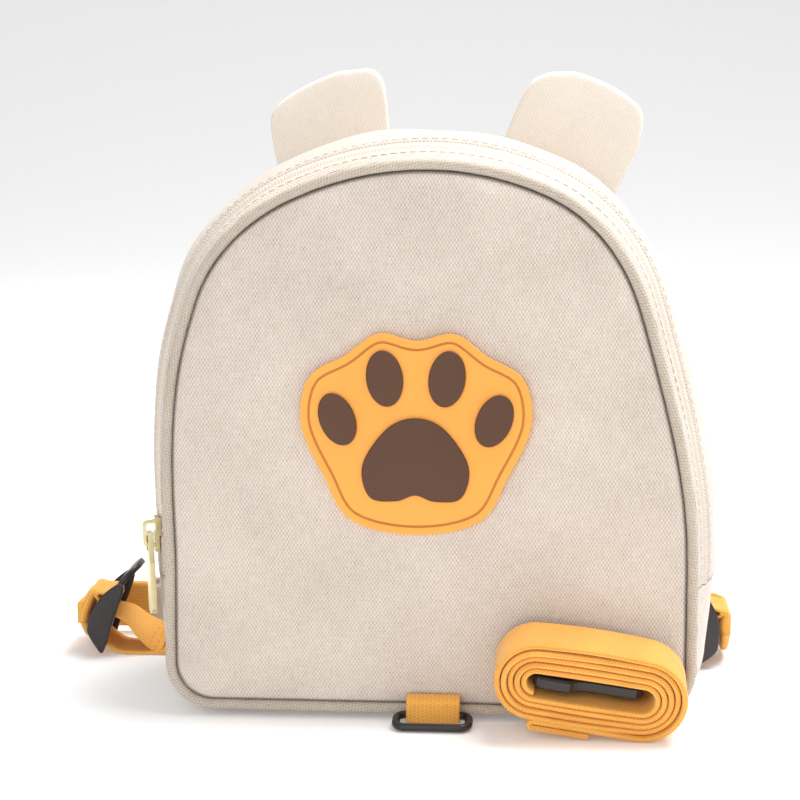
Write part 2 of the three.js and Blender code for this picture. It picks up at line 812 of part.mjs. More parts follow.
// The pull hangs down from its bar, which is the origin of its drawing.
function pullSolid() {
  const half = PULL_WIDTH / 2;
  const shape = new THREE.Shape();
  const top = PULL_BAR / 2;
  shape.moveTo(top, -half * 0.86);
  shape.lineTo(top, half * 0.86);
  shape.quadraticCurveTo(-PULL_LENGTH * 0.2, half * 0.86, -PULL_LENGTH * 0.35, half);
  shape.lineTo(-PULL_LENGTH + half, half);
  shape.quadraticCurveTo(-PULL_LENGTH, half, -PULL_LENGTH, 0);
  shape.quadraticCurveTo(-PULL_LENGTH, -half, -PULL_LENGTH + half, -half);
  shape.lineTo(-PULL_LENGTH * 0.35, -half);
  shape.quadraticCurveTo(-PULL_LENGTH * 0.2, -half * 0.86, top, -half * 0.86);
  const window = PULL_WINDOW_WIDTH / 2;
  shape.holes.push(new THREE.Path([
    new THREE.Vector2(-top, -window),
    new THREE.Vector2(-PULL_WINDOW_LENGTH, -window),
    new THREE.Vector2(-PULL_WINDOW_LENGTH, window),
    new THREE.Vector2(-top, window),
  ]));
  return extruded(shape, PULL_THICKNESS).translate(0, 0, -PULL_BAR / 2);
}

// Bands and wires

// A band along rows of positions x, y, z with its width's direction wx, wy, wz, a width and a thickness.
function band(rows, steps, round = 0.25) {
  const knots = rows.map((row) => point(row.x, row.y, row.z));
  const spine = new THREE.CatmullRomCurve3(knots, false, "centripetal");
  const last = rows.length - 1;
  const row = (share, key) => {
    const at = share * last;
    const i = Math.min(last - 1, Math.floor(at));
    return mix(rows[i][key], rows[i + 1][key], at - i);
  };
  const sections = [];
  for (let i = 0; i <= steps; i++) {
    const share = i / steps;
    const middle = spine.getPoint(share);
    const along = spine.getTangent(share);
    const across = point(row(share, "wx"), row(share, "wy"), row(share, "wz"));
    across.addScaledVector(along, -across.dot(along)).normalize();
    const face = along.clone().cross(across);
    const w = row(share, "width") / 2;
    const t = row(share, "thick") / 2;
    const corners = [[w, -t * round], [w - t * 0.6, -t], [t * 0.6 - w, -t], [-w, -t * round]];
    const ring = [...corners, ...corners.map(([a, b]) => [-a, -b])].reverse();
    sections.push(ring.map(([a, b]) => middle.clone().addScaledVector(across, a).addScaledVector(face, b)));
  }
  return loft(sections);
}

// A band of webbing whose width lies along y, along a path of [x, z] in a plane of constant y.
function flatBand(path, width, thick) {
  const at = (i) => new THREE.Vector2(...path[Math.max(0, Math.min(path.length - 1, i))]);
  const left = [];
  const right = [];
  path.forEach((_, i) => {
    const before = at(i).sub(at(i - 1));
    const after = at(i + 1).sub(at(i));
    const first = before.length() > 0 ? before.normalize() : after.clone().normalize();
    const second = after.length() > 0 ? after.normalize() : first.clone();
    const normal = new THREE.Vector2(-first.y - second.y, first.x + second.x).normalize();
    const stretch = Math.max(0.6, normal.dot(new THREE.Vector2(-first.y, first.x)));
    left.push(at(i).addScaledVector(normal, thick / 2 / stretch));
    right.unshift(at(i).addScaledVector(normal, -thick / 2 / stretch));
  });
  const shape = new THREE.Shape([...left, ...right]);
  return extruded(shape, width).translate(0, 0, -width / 2).rotateX(Math.PI / 2);
}

// Points [x, y] on an arc, with angles in degrees anticlockwise from +x.
function arcPoints(cx, cy, radius, from, to, steps) {
  return Array.from({ length: steps + 1 }, (_, i) => {
    const angle = mix(from, to, i / steps) * DEGREE;
    return [cx + radius * Math.cos(angle), cy + radius * Math.sin(angle)];
  });
}

// Ring and its webbing loop. The ring is drawn in the xy plane with its back bar on the x axis and its front
// bar towards -y.
const RING_SIDES = 10;
const RING_CORNER_STEPS = 3;
function ringSolid() {
  const corner = RING_CORNER;
  const half = RING_WIDTH / 2;
  const middles = [
    [half - corner, -corner, 90, 0],
    [half - corner, corner - RING_REACH, 0, -90],
    [corner - half, corner - RING_REACH, 270, 180],
    [corner - half, -corner, 180, 90],
  ];
  const sections = middles.flatMap(([cx, cy, from, to]) =>
    Array.from({ length: RING_CORNER_STEPS + 1 }, (_, i) => {
      const angle = mix(from, to, i / RING_CORNER_STEPS) * DEGREE;
      const out = new THREE.Vector2(Math.cos(angle), Math.sin(angle));
      return Array.from({ length: RING_SIDES }, (_, j) => {
        const turn = ((j + 0.5) / RING_SIDES) * 2 * Math.PI;
        const reach = corner + RING_RADIUS * Math.cos(turn);
        return point(cx + reach * out.x, cy + reach * out.y, RING_RADIUS * Math.sin(turn));
      });
    }),
  );
  return loftedRing(sections);
}
const LOOP_RADIUS = RING_RADIUS + GAP + LOOP_WEBBING / 2;
const LOOP_BAR_Z = LOOP_RADIUS + LOOP_WEBBING / 2 + GAP;
const LOOP_BAR_Y = -BACK_SEAM - PIPING_RADIUS - GAP - LOOP_WEBBING / 2 - LOOP_RADIUS;
const RING_DROP = Math.asin((LOOP_BAR_Z - RING_RADIUS - GAP) / RING_REACH);

// The loop comes out of the seam above the piping, goes down round the ring's back bar and up behind it.
function ringLoop() {
  const front = LOOP_BAR_Y - LOOP_RADIUS;
  const back = LOOP_BAR_Y + LOOP_RADIUS;
  const path = [
    [back - 0.6, LOOP_TOP + 1],
    [front + 0.4, LOOP_TOP - 0.6],
    [front, LOOP_TOP - 2.6],
    ...arcPoints(LOOP_BAR_Y, LOOP_BAR_Z, LOOP_RADIUS, 180, 360, 6),
    [back, LOOP_TOP - 2.2],
  ];
  return flatBand(path, LOOP_WEBBING_WIDTH, LOOP_WEBBING).rotateZ(Math.PI / 2);
}

// Leash

// The roll's winding, from its core outwards, drawn in the xz plane round the roll's middle and then mirrored.
const LEASH_END_STEPS = 7;
const LEASH_SIDE_STEPS = 3;
function leashPath() {
  const path = [];
  const half = LEASH_SPACING / 2;
  const core = (LEASH_CORE + LEASH_WEBBING) / 2;
  const quarters = 4 * LEASH_TURNS - 1;
  for (let quarter = 0; quarter < quarters; quarter++) {
    const kind = quarter % 4;
    const steps = kind % 2 ? LEASH_SIDE_STEPS : LEASH_END_STEPS;
    for (let i = 0; i < steps; i++) {
      const share = i / steps;
      const radius = core + (LEASH_PITCH * (quarter + share)) / 4;
      const bow = LEASH_BELLY * Math.sin(share * Math.PI) * (radius / core - 1) * 0.3;
      const turn = (-90 + 180 * share) * DEGREE;
      if (kind === 0) path.push([half + radius * Math.cos(turn), radius * Math.sin(turn)]);
      else if (kind === 1) path.push([mix(half, -half, share), radius + bow]);
      else if (kind === 2) path.push([-half - radius * Math.cos(turn), -radius * Math.sin(turn)]);
      else path.push([mix(-half, half, share), -radius - bow]);
    }
  }
  const low = -core - (LEASH_PITCH * quarters) / 4;
  const fold = LEASH_PITCH / 2;
  path.push([-half, low], [LEASH_FOLD_FROM, low]);
  path.push(...arcPoints(LEASH_FOLD_FROM, low - fold, fold, 60, -90, 4));
  path.push([LEASH_FOLD_TO, low - 2 * fold]);
  return path.map(([x, z]) => [-x, z]);
}

// The snap hook that lies in the roll's core, seen from above: its eye on the left, its gate on the right.
const HOOK_EYE = 3.2;
const HOOK_CORNER = 5;
const HOOK_JAW = 3.4;
function hookSolid() {
  const long = HOOK_LENGTH / 2;
  const wide = HOOK_WIDTH / 2;
  const neck = wide * 0.62;
  const shape = new THREE.Shape();
  shape.moveTo(HOOK_CORNER - long, -wide);
  shape.lineTo(-long * 0.35, -wide);
  shape.quadraticCurveTo(-long * 0.2, -neck, 0, -neck);
  shape.lineTo(long - neck, -neck);
  shape.quadraticCurveTo(long, -neck, long, 0);
  shape.quadraticCurveTo(long, neck, long - neck, neck);
  shape.lineTo(0, neck);
  shape.quadraticCurveTo(-long * 0.2, neck, -long * 0.35, wide);
  shape.lineTo(HOOK_CORNER - long, wide);
  shape.quadraticCurveTo(-long, wide, -long, wide - HOOK_CORNER);
  shape.lineTo(-long, HOOK_CORNER - wide);
  shape.quadraticCurveTo(-long, -wide, HOOK_CORNER - long, -wide);
  const slot = (left, right, half) => new THREE.Path([
    new THREE.Vector2(left, -half),
    new THREE.Vector2(left, half),
    new THREE.Vector2(right, half),
    new THREE.Vector2(right, -half),
  ]);
  shape.holes.push(slot(HOOK_EYE - long, HOOK_EYE * 2 - long, wide - HOOK_EYE));
  shape.holes.push(slot(long * 0.1, long - HOOK_JAW * 1.4, neck - HOOK_JAW * 0.8));
  return new THREE.ExtrudeGeometry(shape, {
    depth: HOOK_THICKNESS - 2 * HOOK_BEVEL,
    curveSegments: 4,
    bevelThickness: HOOK_BEVEL,
    bevelSize: HOOK_BEVEL,
    bevelOffset: -HOOK_BEVEL,
    bevelSegments: 1,
  }).translate(0, 0, HOOK_BEVEL - HOOK_THICKNESS / 2);
}

// Ladder locks and webbing. Each lock is drawn in the xz plane: z up the lock, x away from the bag, with its
// middle bar at the origin. On each side, out is the middle bar's distance from the outline's side, z its
// height, lean in degrees (the top towards the bag), fold how far past the bar the stub turns back, and strap
// how far past the outline's side the strap ends, all as on the right side of a bag. The tail's rows are
// shares of its length, from the middle bar.
const SIDES = {
  left: {
    sign: -1,
    out: 43,
    z: 15.8,
    lean: 25,
    fold: 7.7,
    strap: 27.5,
    tail: [
      { x: -0.27, z: 0.03 },
      { x: -0.44, z: -0.05 },
      { x: -0.65, z: -0.24 },
      { x: -0.865, z: -0.39 },
      { x: -1, z: -0.44 },
    ],
  },
  right: {
    sign: 1,
    out: 12.1,
    z: 13.9,
    lean: 4,
    fold: 6.7,
    strap: 2,
    tail: [
      { x: -0.2, z: 0.11 },
      { x: -0.25, z: -0.02 },
      { x: -0.26, z: -0.17 },
      { x: -0.262, z: -0.29 },
    ],
  },
};
const WRAP = LOCK_BAR_RADIUS + GAP + WEBBING / 2;

// From a lock's own drawing to the xz plane of a bag seen with that side on its right.
function lockPoint({ out, z, lean }, u, v) {
  const turned = new THREE.Vector2(u, v).rotateAround(new THREE.Vector2(), lean * DEGREE);
  return [HALF_WIDTH + out + turned.x, z + turned.y];
}

// The outline of a lock's side plates, and the middle line of its tab: shares of the bars' spacing, u away from
// the bag and v up the lock.
const LOCK_PLATE = [
  { u: -0.19, v: 2.17 },
  { u: 0.15, v: 1.62 },
  { u: 0.37, v: 1.06 },
  { u: 0.46, v: 0.37 },
  { u: 0.42, v: -0.25 },
  { u: 0.3, v: -0.78 },
  { u: -0.08, v: -1.14 },
  { u: -0.53, v: -1.42 },
  { u: -0.85, v: -1.6 },
  { u: -0.93, v: -1.5 },
  { u: -0.9, v: -1 },
  { u: -0.8, v: -0.25 },
  { u: -0.71, v: 0.5 },
  { u: -0.65, v: 1.25 },
  { u: -0.57, v: 1.87 },
  { u: -0.45, v: 2.17 },
];
const LOCK_TAB_LINE = [
  { u: -0.2, v: 1.53 },
  { u: -0.28, v: 2.12 },
  { u: -0.45, v: 2.7 },
  { u: -0.69, v: 3.25 },
];
const LOCK_BARS = [
  { u: 0.075, v: -0.78 },
  { u: 0, v: 0 },
  { u: 0, v: 1 },
];
function ladderLock(side) {
  const drawn = ({ u, v }) => new THREE.Vector2(u, v).multiplyScalar(LOCK_BAR_SPACING);
  const offset = (LOCK_WIDTH - LOCK_RAIL_WIDTH) / 2;
  const plates = [-1, 1].map((end) =>
    extruded(new THREE.Shape(LOCK_PLATE.map(drawn)), LOCK_RAIL_WIDTH)
      .translate(0, 0, -LOCK_RAIL_WIDTH / 2)
      .rotateX(Math.PI / 2)
      .translate(0, end * offset, 0));
  const bars = LOCK_BARS.map((bar) => {
    const { x, y } = drawn(bar);
    return new THREE.CylinderGeometry(LOCK_BAR_RADIUS, LOCK_BAR_RADIUS, LOCK_WIDTH - LOCK_RAIL_WIDTH, 12)
      .translate(x, 0, y);
  });
  const tabLine = LOCK_TAB_LINE.map((row) => drawn(row).toArray());
  const tab = flatBand(tabLine, LOCK_WIDTH - LOCK_RAIL_WIDTH, LOCK_TAB);
  const geometry = joined([...plates, ...bars, tab]);
  geometry.rotateY(-side.lean * DEGREE).translate(HALF_WIDTH + side.out, WEBBING_Y, side.z);
  return mirrored(geometry, side.sign);
}

function mirrored(geometry, sign) {
  if (sign < 0) geometry.scale(-1, 1, 1);
  return facingOut(geometry.index ? geometry : mergeVertices(bare(geometry)));
}

function bare(geometry) {
  geometry.deleteAttribute("normal");
  geometry.deleteAttribute("uv");
  return geometry;
}

// The adjusting webbing: from the bag's corner out along the floor, up round the lock's middle bar and down
// again to its hem. run is a share of the way from the corner to the lock.
const FLOOR_RUN = [0, 0.09, 0.2, 0.5, 0.78, 0.9];
const RUN_DOWN = 0.2;
const RUN_UP = 0.78;
const CORNER_SHARE = 0.35; // of the way up the base's corner
function adjustingWebbing(side) {
  const wrap = arcPoints(0, 0, WRAP, -110, 110, 8).map(([u, v]) => lockPoint(side, u, v));
  const lead = lockPoint(side, -WRAP, 1 - LOCK_BAR_SPACING);
  const inner = WEBBING_Y - WEBBING_WIDTH / 2 + BACK_SEAM;
  const sewn = gussetPoint(HALF[0].length + CORNER_SHARE * HALF[1].length, inner, GAP + WEBBING / 2);
  const low = WEBBING / 2 + GAP;
  const run = FLOOR_RUN.map((share) => {
    const down = Math.max(0, 1 - share / RUN_DOWN) ** 2 * (sewn.z - low);
    const up = Math.max(0, (share - RUN_UP) / (1 - RUN_UP)) ** 2 * (lead[1] - low);
    return [mix(sewn.x, lead[0], share), low + down + up];
  });
  const tail = side.tail.map(({ x, z }) =>
    [HALF_WIDTH + side.out + x * TAIL_LENGTH, side.z + z * TAIL_LENGTH]);
  const main = flatBand([...run, lead, ...wrap, ...tail], WEBBING_WIDTH, WEBBING);
  return mirrored(bare(main.translate(0, WEBBING_Y, 0)), side.sign);
}

// The webbing that holds the lock to the strap: a loop round the upper bar, a tongue down to a fold, and from
// there, on its edge, back round the lock to the strap's end.
const STUB_HEIGHT = 12.4; // middle of the stretch on its edge
const STUB_BACK = BACK_SEAM + STRAP_END_BACK;
const STUB_TURN = 10;
function lockStub(side) {
  const thick = 2 * WEBBING + GAP;
  const fold = HALF_WIDTH + side.out + side.fold;
  const strapEnd = HALF_WIDTH + side.strap + GAP;
  const start = lockPoint(side, 5, LOCK_BAR_SPACING + 0.9);
  const end = lockPoint(side, 5, LOCK_BAR_SPACING - 0.9);
  const round = arcPoints(0, LOCK_BAR_SPACING, WRAP, 50, 310, 9).map(([u, v]) => lockPoint(side, u, v));
  const loop = flatBand([start, ...round, end], WEBBING_WIDTH, WEBBING).translate(0, WEBBING_Y, 0);
  const down = [
    lockPoint(side, 4.3, LOCK_BAR_SPACING),
    lockPoint(side, 7, LOCK_BAR_SPACING - 0.4),
    [fold - 1.2, STUB_HEIGHT + 4.5],
    [fold - 0.2, STUB_HEIGHT - 2],
    [fold - 0.2, STUB_HEIGHT - WEBBING_WIDTH / 2 + 1.5],
  ];
  const tongue = flatBand(down, WEBBING_WIDTH, thick).translate(0, WEBBING_Y, 0);
  const turn = arcPoints(fold - STUB_TURN, STUB_BACK - STUB_TURN, STUB_TURN, 0, 90, 6);
  const path = [[fold, WEBBING_Y - WEBBING_WIDTH / 2 + 0.4], ...turn, [strapEnd, STUB_BACK]];
  const back = flatBand(path, WEBBING_WIDTH, thick).rotateX(-Math.PI / 2).translate(0, 0, STUB_HEIGHT);
  return mirrored(joined([loop, tongue, back]), side.sign);
}

// A shoulder strap, from its lower end round a turn and up to the top of the back panel, where it is sewn on.
// x is a share of the half width, bow of the straps' bow behind the back seam, z of the outline's height and
// width of the strap's width. turn is the width's direction in degrees, from level to upright.
const STRAP_TURN_X = 0.718;
const STRAP_TURN_STEPS = 4;
const STRAP_TURN_WIDTH = 0.9;
const STRAP_ROWS = [
  { x: 0.7, bow: 1, z: 0.26, width: 1, turn: 5 },
  { x: 0.665, bow: 0.96, z: 0.35, width: 1, turn: 11 },
  { x: 0.61, bow: 0.88, z: 0.46, width: 1, turn: 15 },
  { x: 0.533, bow: 0.765, z: 0.58, width: 1, turn: 17 },
  { x: 0.42, bow: 0.53, z: 0.738, width: 1, turn: 19 },
];
// The sewn end lies on the back panel.
const STRAP_TOP = [
  { x: 0.325, z: 0.866, width: 0.95, turn: 19, lift: 2.5 },
  { x: 0.29, z: 0.91, width: 0.9, turn: 15, lift: 0 },
  { x: 0.275, z: 0.935, width: 0.9, turn: 12, lift: 0 },
];
const STRAP_STEPS = 32;
function shoulderStrap(side) {
  const end = { x: HALF_WIDTH + side.strap, y: STUB_BACK, z: STUB_HEIGHT, width: STRAP_END_WIDTH, turn: 90 };
  const low = [end, { ...end, x: end.x - STRAP_THICKNESS / 2 }];
  for (let i = 0; i <= STRAP_TURN_STEPS; i++) {
    const share = i / STRAP_TURN_STEPS;
    const angle = (share * Math.PI) / 2;
    low.push({
      x: STRAP_TURN_X * HALF_WIDTH + STRAP_TURN * (1 - Math.sin(angle)),
      y: mix(STUB_BACK, BACK_SEAM + STRAP_BOW, share),
      z: STUB_HEIGHT + STRAP_TURN * (1 - Math.cos(angle)),
      width: mix(STRAP_END_WIDTH, STRAP_TURN_WIDTH * STRAP_WIDTH, share),
      turn: 90 * (1 - share),
    });
  }
  const middle = STRAP_ROWS.map(({ x, bow, z, width, turn }) => ({
    x: x * HALF_WIDTH,
    y: BACK_SEAM + bow * STRAP_BOW,
    z: BASE_LINE + z * OUTLINE_HEIGHT,
    width: width * STRAP_WIDTH,
    turn,
  }));
  const top = STRAP_TOP.map(({ x, z, width, turn, lift }) => {
    const at = { x: x * HALF_WIDTH, z: BASE_LINE + z * OUTLINE_HEIGHT };
    const out = new THREE.Vector2(STRAP_WIDTH / 2, 0).rotateAround(new THREE.Vector2(), turn * DEGREE);
    const faces = [-1, -0.8, -0.5, 0, 0.5, 1].map((share) =>
      backFace(side.sign * (at.x + share * out.x), at.z + share * out.y));
    const y = Math.max(...faces) + GAP + STRAP_THICKNESS / 2 + lift;
    return { ...at, y, width: width * STRAP_WIDTH, turn };
  });
  const rows = [...low, ...middle, ...top].map((row) => ({
    ...row,
    wx: Math.cos(row.turn * DEGREE),
    wy: 0,
    wz: Math.sin(row.turn * DEGREE),
    thick: STRAP_THICKNESS,
  }));
  return mirrored(band(rows, STRAP_STEPS, 0.1), side.sign);
}

add("front_panel", frontPanel(), canvas);
add("piping", piping(), canvas);
add("zip_gusset_front", zipGussetFront(), canvas);
add("zip_chain", zipChain(), canvas);
add("zip_gusset_rear", zipGussetRear(), canvas);
add("base_gusset", baseGusset(), canvas);
add("back_panel", backPanel(), canvas);
for (const [name, side] of Object.entries(EARS)) {
  const mesh = add(`ear_${name}`, ear(side), canvas);
  mesh.rotation.x = Math.PI / 2;
  mesh.position.y = BACK_SEAM + EAR_THICKNESS - EAR_SOFTNESS;
}

const badge = new THREE.Group();
badge.name = "badge";
badge.position.set(BADGE_X, badgeStand(), BADGE_HEIGHT);
badge.rotation.x = Math.PI / 2 - LEAN;
bag.add(badge);
add("badge_backing", badgeBacking(), badgeRubber, badge);
const padLift = BADGE_PLATE + BADGE_FIELD + GAP / 3;
const paw = drawnIn(smoothOutline(PAD_OUTLINE, PAD_POINTS), 0);
add("badge_pad", raisedPad(paw), brownRubber, badge).position.z = padLift;
TOES.forEach((toe, i) => {
  add(`badge_toe_${i + 1}`, raisedPad(toeShape(toe)), brownRubber, badge).position.z = padLift;
});

const sliderAt = PERIMETER - lengthAtHeight(SLIDER_HEIGHT);
const zipMiddle = ZIP_SETBACK + ZIP_WIDTH / 2;
const coilTop = (length, distance) => gussetPoint(length, distance, COIL_HEIGHT - ZIP_SUNK);
const upZip = coilTop(sliderAt - 2, zipMiddle).sub(coilTop(sliderAt + 2, zipMiddle)).normalize();
const acrossZip = coilTop(sliderAt, zipMiddle + 2).sub(coilTop(sliderAt, zipMiddle - 2));
acrossZip.addScaledVector(upZip, -acrossZip.dot(upZip)).normalize();
const slider = new THREE.Group();
slider.name = "slider";
slider.position.copy(coilTop(sliderAt, zipMiddle));
slider.setRotationFromMatrix(
  new THREE.Matrix4().makeBasis(upZip, acrossZip, upZip.clone().cross(acrossZip)),
);
bag.add(slider);
add("zip_slider", sliderSolid(), paleBrass, slider);
add("zip_pull", pullSolid(), paleBrass, slider).position.z = BAR_LIFT;

const ring = add("ring", ringSolid(), blackPlastic);
ring.position.set(RING_X, LOOP_BAR_Y, LOOP_BAR_Z);
ring.rotation.x = RING_DROP;
add("ring_loop", ringLoop(), orangeWebbing).position.x = RING_X;

const leash = new THREE.Group();
leash.name = "leash";
leash.position.set(LEASH_X, -BACK_SEAM - LEASH_STANDOFF, LEASH_Z);
leash.rotation.set(LEASH_TIP * DEGREE, LEASH_TILT * DEGREE, 0);
bag.add(leash);
add("leash_webbing", flatBand(leashPath(), LEASH_WIDTH, LEASH_WEBBING), orangeWebbing, leash);
add("leash_hook", hookSolid(), blackPlastic, leash);

for (const [name, side] of Object.entries(SIDES)) {
  add(`ladder_lock_${name}`, ladderLock(side), blackPlastic);
  add(`strap_webbing_${name}`, adjustingWebbing(side), orangeWebbing);
  add(`lock_stub_${name}`, lockStub(side), orangeWebbing);
  add(`shoulder_strap_${name}`, shoulderStrap(side), canvas);
}

export default bag;
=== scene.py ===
import math

import bpy
import numpy as np
from mathutils import Matrix, Vector


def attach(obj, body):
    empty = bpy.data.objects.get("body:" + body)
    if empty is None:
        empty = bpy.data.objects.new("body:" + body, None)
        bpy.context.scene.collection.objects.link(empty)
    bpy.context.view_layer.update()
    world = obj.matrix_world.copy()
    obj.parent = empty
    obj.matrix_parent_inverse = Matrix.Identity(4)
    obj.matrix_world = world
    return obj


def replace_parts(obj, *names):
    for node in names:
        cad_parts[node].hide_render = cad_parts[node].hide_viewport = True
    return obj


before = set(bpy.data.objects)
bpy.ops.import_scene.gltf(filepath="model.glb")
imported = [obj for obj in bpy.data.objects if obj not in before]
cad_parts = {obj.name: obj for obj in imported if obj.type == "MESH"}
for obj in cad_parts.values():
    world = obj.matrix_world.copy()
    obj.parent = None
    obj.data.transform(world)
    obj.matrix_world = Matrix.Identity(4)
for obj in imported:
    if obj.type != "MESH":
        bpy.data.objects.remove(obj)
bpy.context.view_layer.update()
MM = 0.001

# The photographer's camera: a long lens, a little above the bag and a few degrees to its right.
bpy.ops.object.camera_add(
    location=(0.0466, -0.8387, 0.26),
    rotation=(math.radians(90 - 9.81), 0, math.radians(4.11)),
)
camera = bpy.context.object
camera.data.lens = 99.7
camera.data.sensor_width = 36
bpy.context.scene.camera = camera

# The studio: a white paper sweep, one large soft light above and behind the bag, and a weaker one in front of it.
bpy.ops.mesh.primitive_plane_add(size=5, location=(0, 0.5, 0))
sweep = bpy.context.object
sweep.name = "sweep"
bpy.ops.object.mode_set(mode="EDIT")
bpy.ops.mesh.select_mode(type="EDGE")
bpy.ops.mesh.select_all(action="DESELECT")
bpy.ops.object.mode_set(mode="OBJECT")
for edge in sweep.data.edges:
    edge.select = all(sweep.data.vertices[i].co.y > 2 for i in edge.vertices)
bpy.ops.object.mode_set(mode="EDIT")
bpy.ops.mesh.extrude_region_move(TRANSFORM_OT_translate={"value": (0, 0, 4)})
bpy.ops.object.mode_set(mode="OBJECT")
bend = sweep.modifiers.new("bend", "BEVEL")
bend.width, bend.segments = 1.6, 16
bpy.ops.object.modifier_apply(modifier="bend")
bpy.ops.object.transform_apply()
sweep.data.shade_smooth()
paper = bpy.data.materials.new("white_paper")
paper.use_nodes = True
paper.node_tree.nodes["Principled BSDF"].inputs["Base Color"].default_value = (0.92, 0.92, 0.92, 1)
paper.node_tree.nodes["Principled BSDF"].inputs["Roughness"].default_value = 0.9
paper.node_tree.nodes["Principled BSDF"].inputs["Emission Color"].default_value = (1, 1, 1, 1)
paper.node_tree.nodes["Principled BSDF"].inputs["Emission Strength"].default_value = 0.12
sweep.data.materials.append(paper)
studio = bpy.data.worlds.new("studio")
studio.use_nodes = True
studio.node_tree.nodes["Background"].inputs["Color"].default_value = (1, 1, 1, 1)
studio.node_tree.nodes["Background"].inputs["Strength"].default_value = 0.56
bpy.context.scene.world = studio
bpy.context.scene.view_settings.view_transform = "Standard"
for name, place, aim, size, power in (
    ("overhead_softbox", (0.42, 0.22, 1.3), (0, 0, 0.1), 0.8, 25),
    ("front_softbox", (-0.35, -1.5, 0.8), (0, 0, 0.1), 1.2, 7.5),
):
    bpy.ops.object.light_add(type="AREA", location=place)
    lamp = bpy.context.object
    lamp.name = name
    lamp.rotation_euler = (Vector(aim) - Vector(place)).to_track_quat("-Z", "Y").to_euler()
    lamp.data.size = size
    lamp.data.energy = power


# Woven canvas: cream cotton in a plain weave of thick threads, with slubs. It is the cloth of all of the bag's
# sewn pieces, and follows each one's own UV map, which is laid out in metres.
class Shade:
    """A value of a material's node tree, which adds its Math nodes as it is worked out."""

    def __init__(self, tree, socket=None):
        self.tree, self.socket = tree, socket

    def node(self, kind, settings, inputs, output=0):
        made = self.tree.nodes.new(kind)
        for key, value in settings.items():
            if key == "stops":
                while len(made.color_ramp.elements) < len(value):
                    made.color_ramp.elements.new(0.5)
                for element, (place, colour) in zip(made.color_ramp.elements, value):
                    element.position, element.color = place, colour
            else:
                setattr(made, key, value)
        for key, value in inputs.items():
            if isinstance(value, Shade):
                self.tree.links.new(value.socket, made.inputs[key])
            else:
                made.inputs[key].default_value = value
        return Shade(self.tree, made.outputs[output])

    def math(self, operation, *values):
        return self.node("ShaderNodeMath", {"operation": operation}, dict(enumerate(values)))

    def __add__(self, other):
        return self.math("ADD", self, other)

    def __sub__(self, other):
        return self.math("SUBTRACT", self, other)

    def __rsub__(self, other):
        return self.math("SUBTRACT", other, self)

    def __mul__(self, other):
        return self.math("MULTIPLY", self, other)

    def noise(self, vector, scale, detail=2.0):
        return self.node("ShaderNodeTexNoise", {}, {"Vector": vector, "Scale": scale, "Detail": detail})

    def blend(self, factor, a, b):
        settings = {"data_type": "RGBA"}
        return self.node("ShaderNodeMix", settings, {0: factor, 6: a, 7: b}, 2)

    def stretched(self, vector, scale):
        settings = {"operation": "MULTIPLY"}
        return self.node("ShaderNodeVectorMath", settings, {0: vector, 1: scale})

    __radd__, __rmul__ = __add__, __mul__


def start_material(name):
    made = bpy.data.materials.new(name)
    made.use_nodes = True
    surface = made.node_tree.nodes["Principled BSDF"]
    return made, surface, Shade(made.node_tree)


def set_surface(shade, surface, values):
    for key, value in values.items():
        if isinstance(value, Shade):
            shade.tree.links.new(value.socket, surface.inputs[key])
        else:
            surface.inputs[key].default_value = value


def canvas_cloth(name, light, dark, warp, weft, relief):
    made, surface, shade = start_material(name)
    cloth = shade.node("ShaderNodeUVMap", {"uv_map": "UVMap"}, {})
    wander = shade.noise(cloth, 260, 3)
    across = shade.node("ShaderNodeSeparateXYZ", {}, {0: cloth})
    along = shade.node("ShaderNodeSeparateXYZ", {}, {0: cloth}, 1)
    u = (across + wander * 0.00045) * (math.pi / warp)
    v = (along - wander * 0.0005) * (math.pi / weft)
    worn = shade.math("MULTIPLY_ADD", shade.noise(cloth, 420, 2), 2.0, -0.35)
    threads = u.math("COSINE", u) * v.math("COSINE", v) * worn
    slubs = shade.noise(shade.stretched(cloth, (160, 1500, 1)), 1, 2)
    picks = shade.noise(shade.stretched(cloth, (1500, 160, 1)), 1, 2)
    height = threads * 0.5 + slubs * 0.45 + picks * 0.45
    fine = shade.math("MULTIPLY_ADD", height, 0.75, 0.16)
    clouds = shade.noise(cloth, 28, 3)
    tone = shade.math("ADD", fine, (clouds - 0.5) * 0.35)
    colour = shade.blend(tone, (*dark, 1), (*light, 1))
    # Painted shade: near the front panel's edge the cloth turns dark brown, standing in for the shadow down in the
    # groove of its seam.
    seam = shade.node("ShaderNodeAttribute", {"attribute_name": "seam"}, {}, 2)
    colour = shade.blend(seam, colour, (0.10, 0.072, 0.045, 1))
    bump = shade.node("ShaderNodeBump", {}, {"Strength": 0.55, "Distance": relief, "Height": height})
    set_surface(shade, surface, {
        "Base Color": colour,
        "Roughness": 0.92,
        "Sheen Weight": 0.25,
        "Sheen Roughness": 0.5,
        "Specular IOR Level": 0.2,
        "Normal": bump,
    })
    return made


canvas = canvas_cloth("cream_canvas", (0.91, 0.81, 0.72), (0.36, 0.29, 0.24), 0.000675, 0.00105, 0.00026)
# Painted light: the ears get a paler, less contrasty copy of the same canvas, so that they look as bright as backlit
# cloth.
painted_light_ear_cloth = canvas_cloth("painted_light_ear_canvas", (0.93, 0.86, 0.78), (0.68, 0.60, 0.51), 0.000675, 0.00105, 0.0002)
# Painted shade: the piping gets a darker, greyer copy of the same canvas, standing in for the shade on its front-facing
# cord.
painted_shade_piping_cloth = canvas_cloth("painted_shade_piping_canvas", (0.74, 0.65, 0.55), (0.30, 0.245, 0.19), 0.000675, 0.00105, 0.00025)

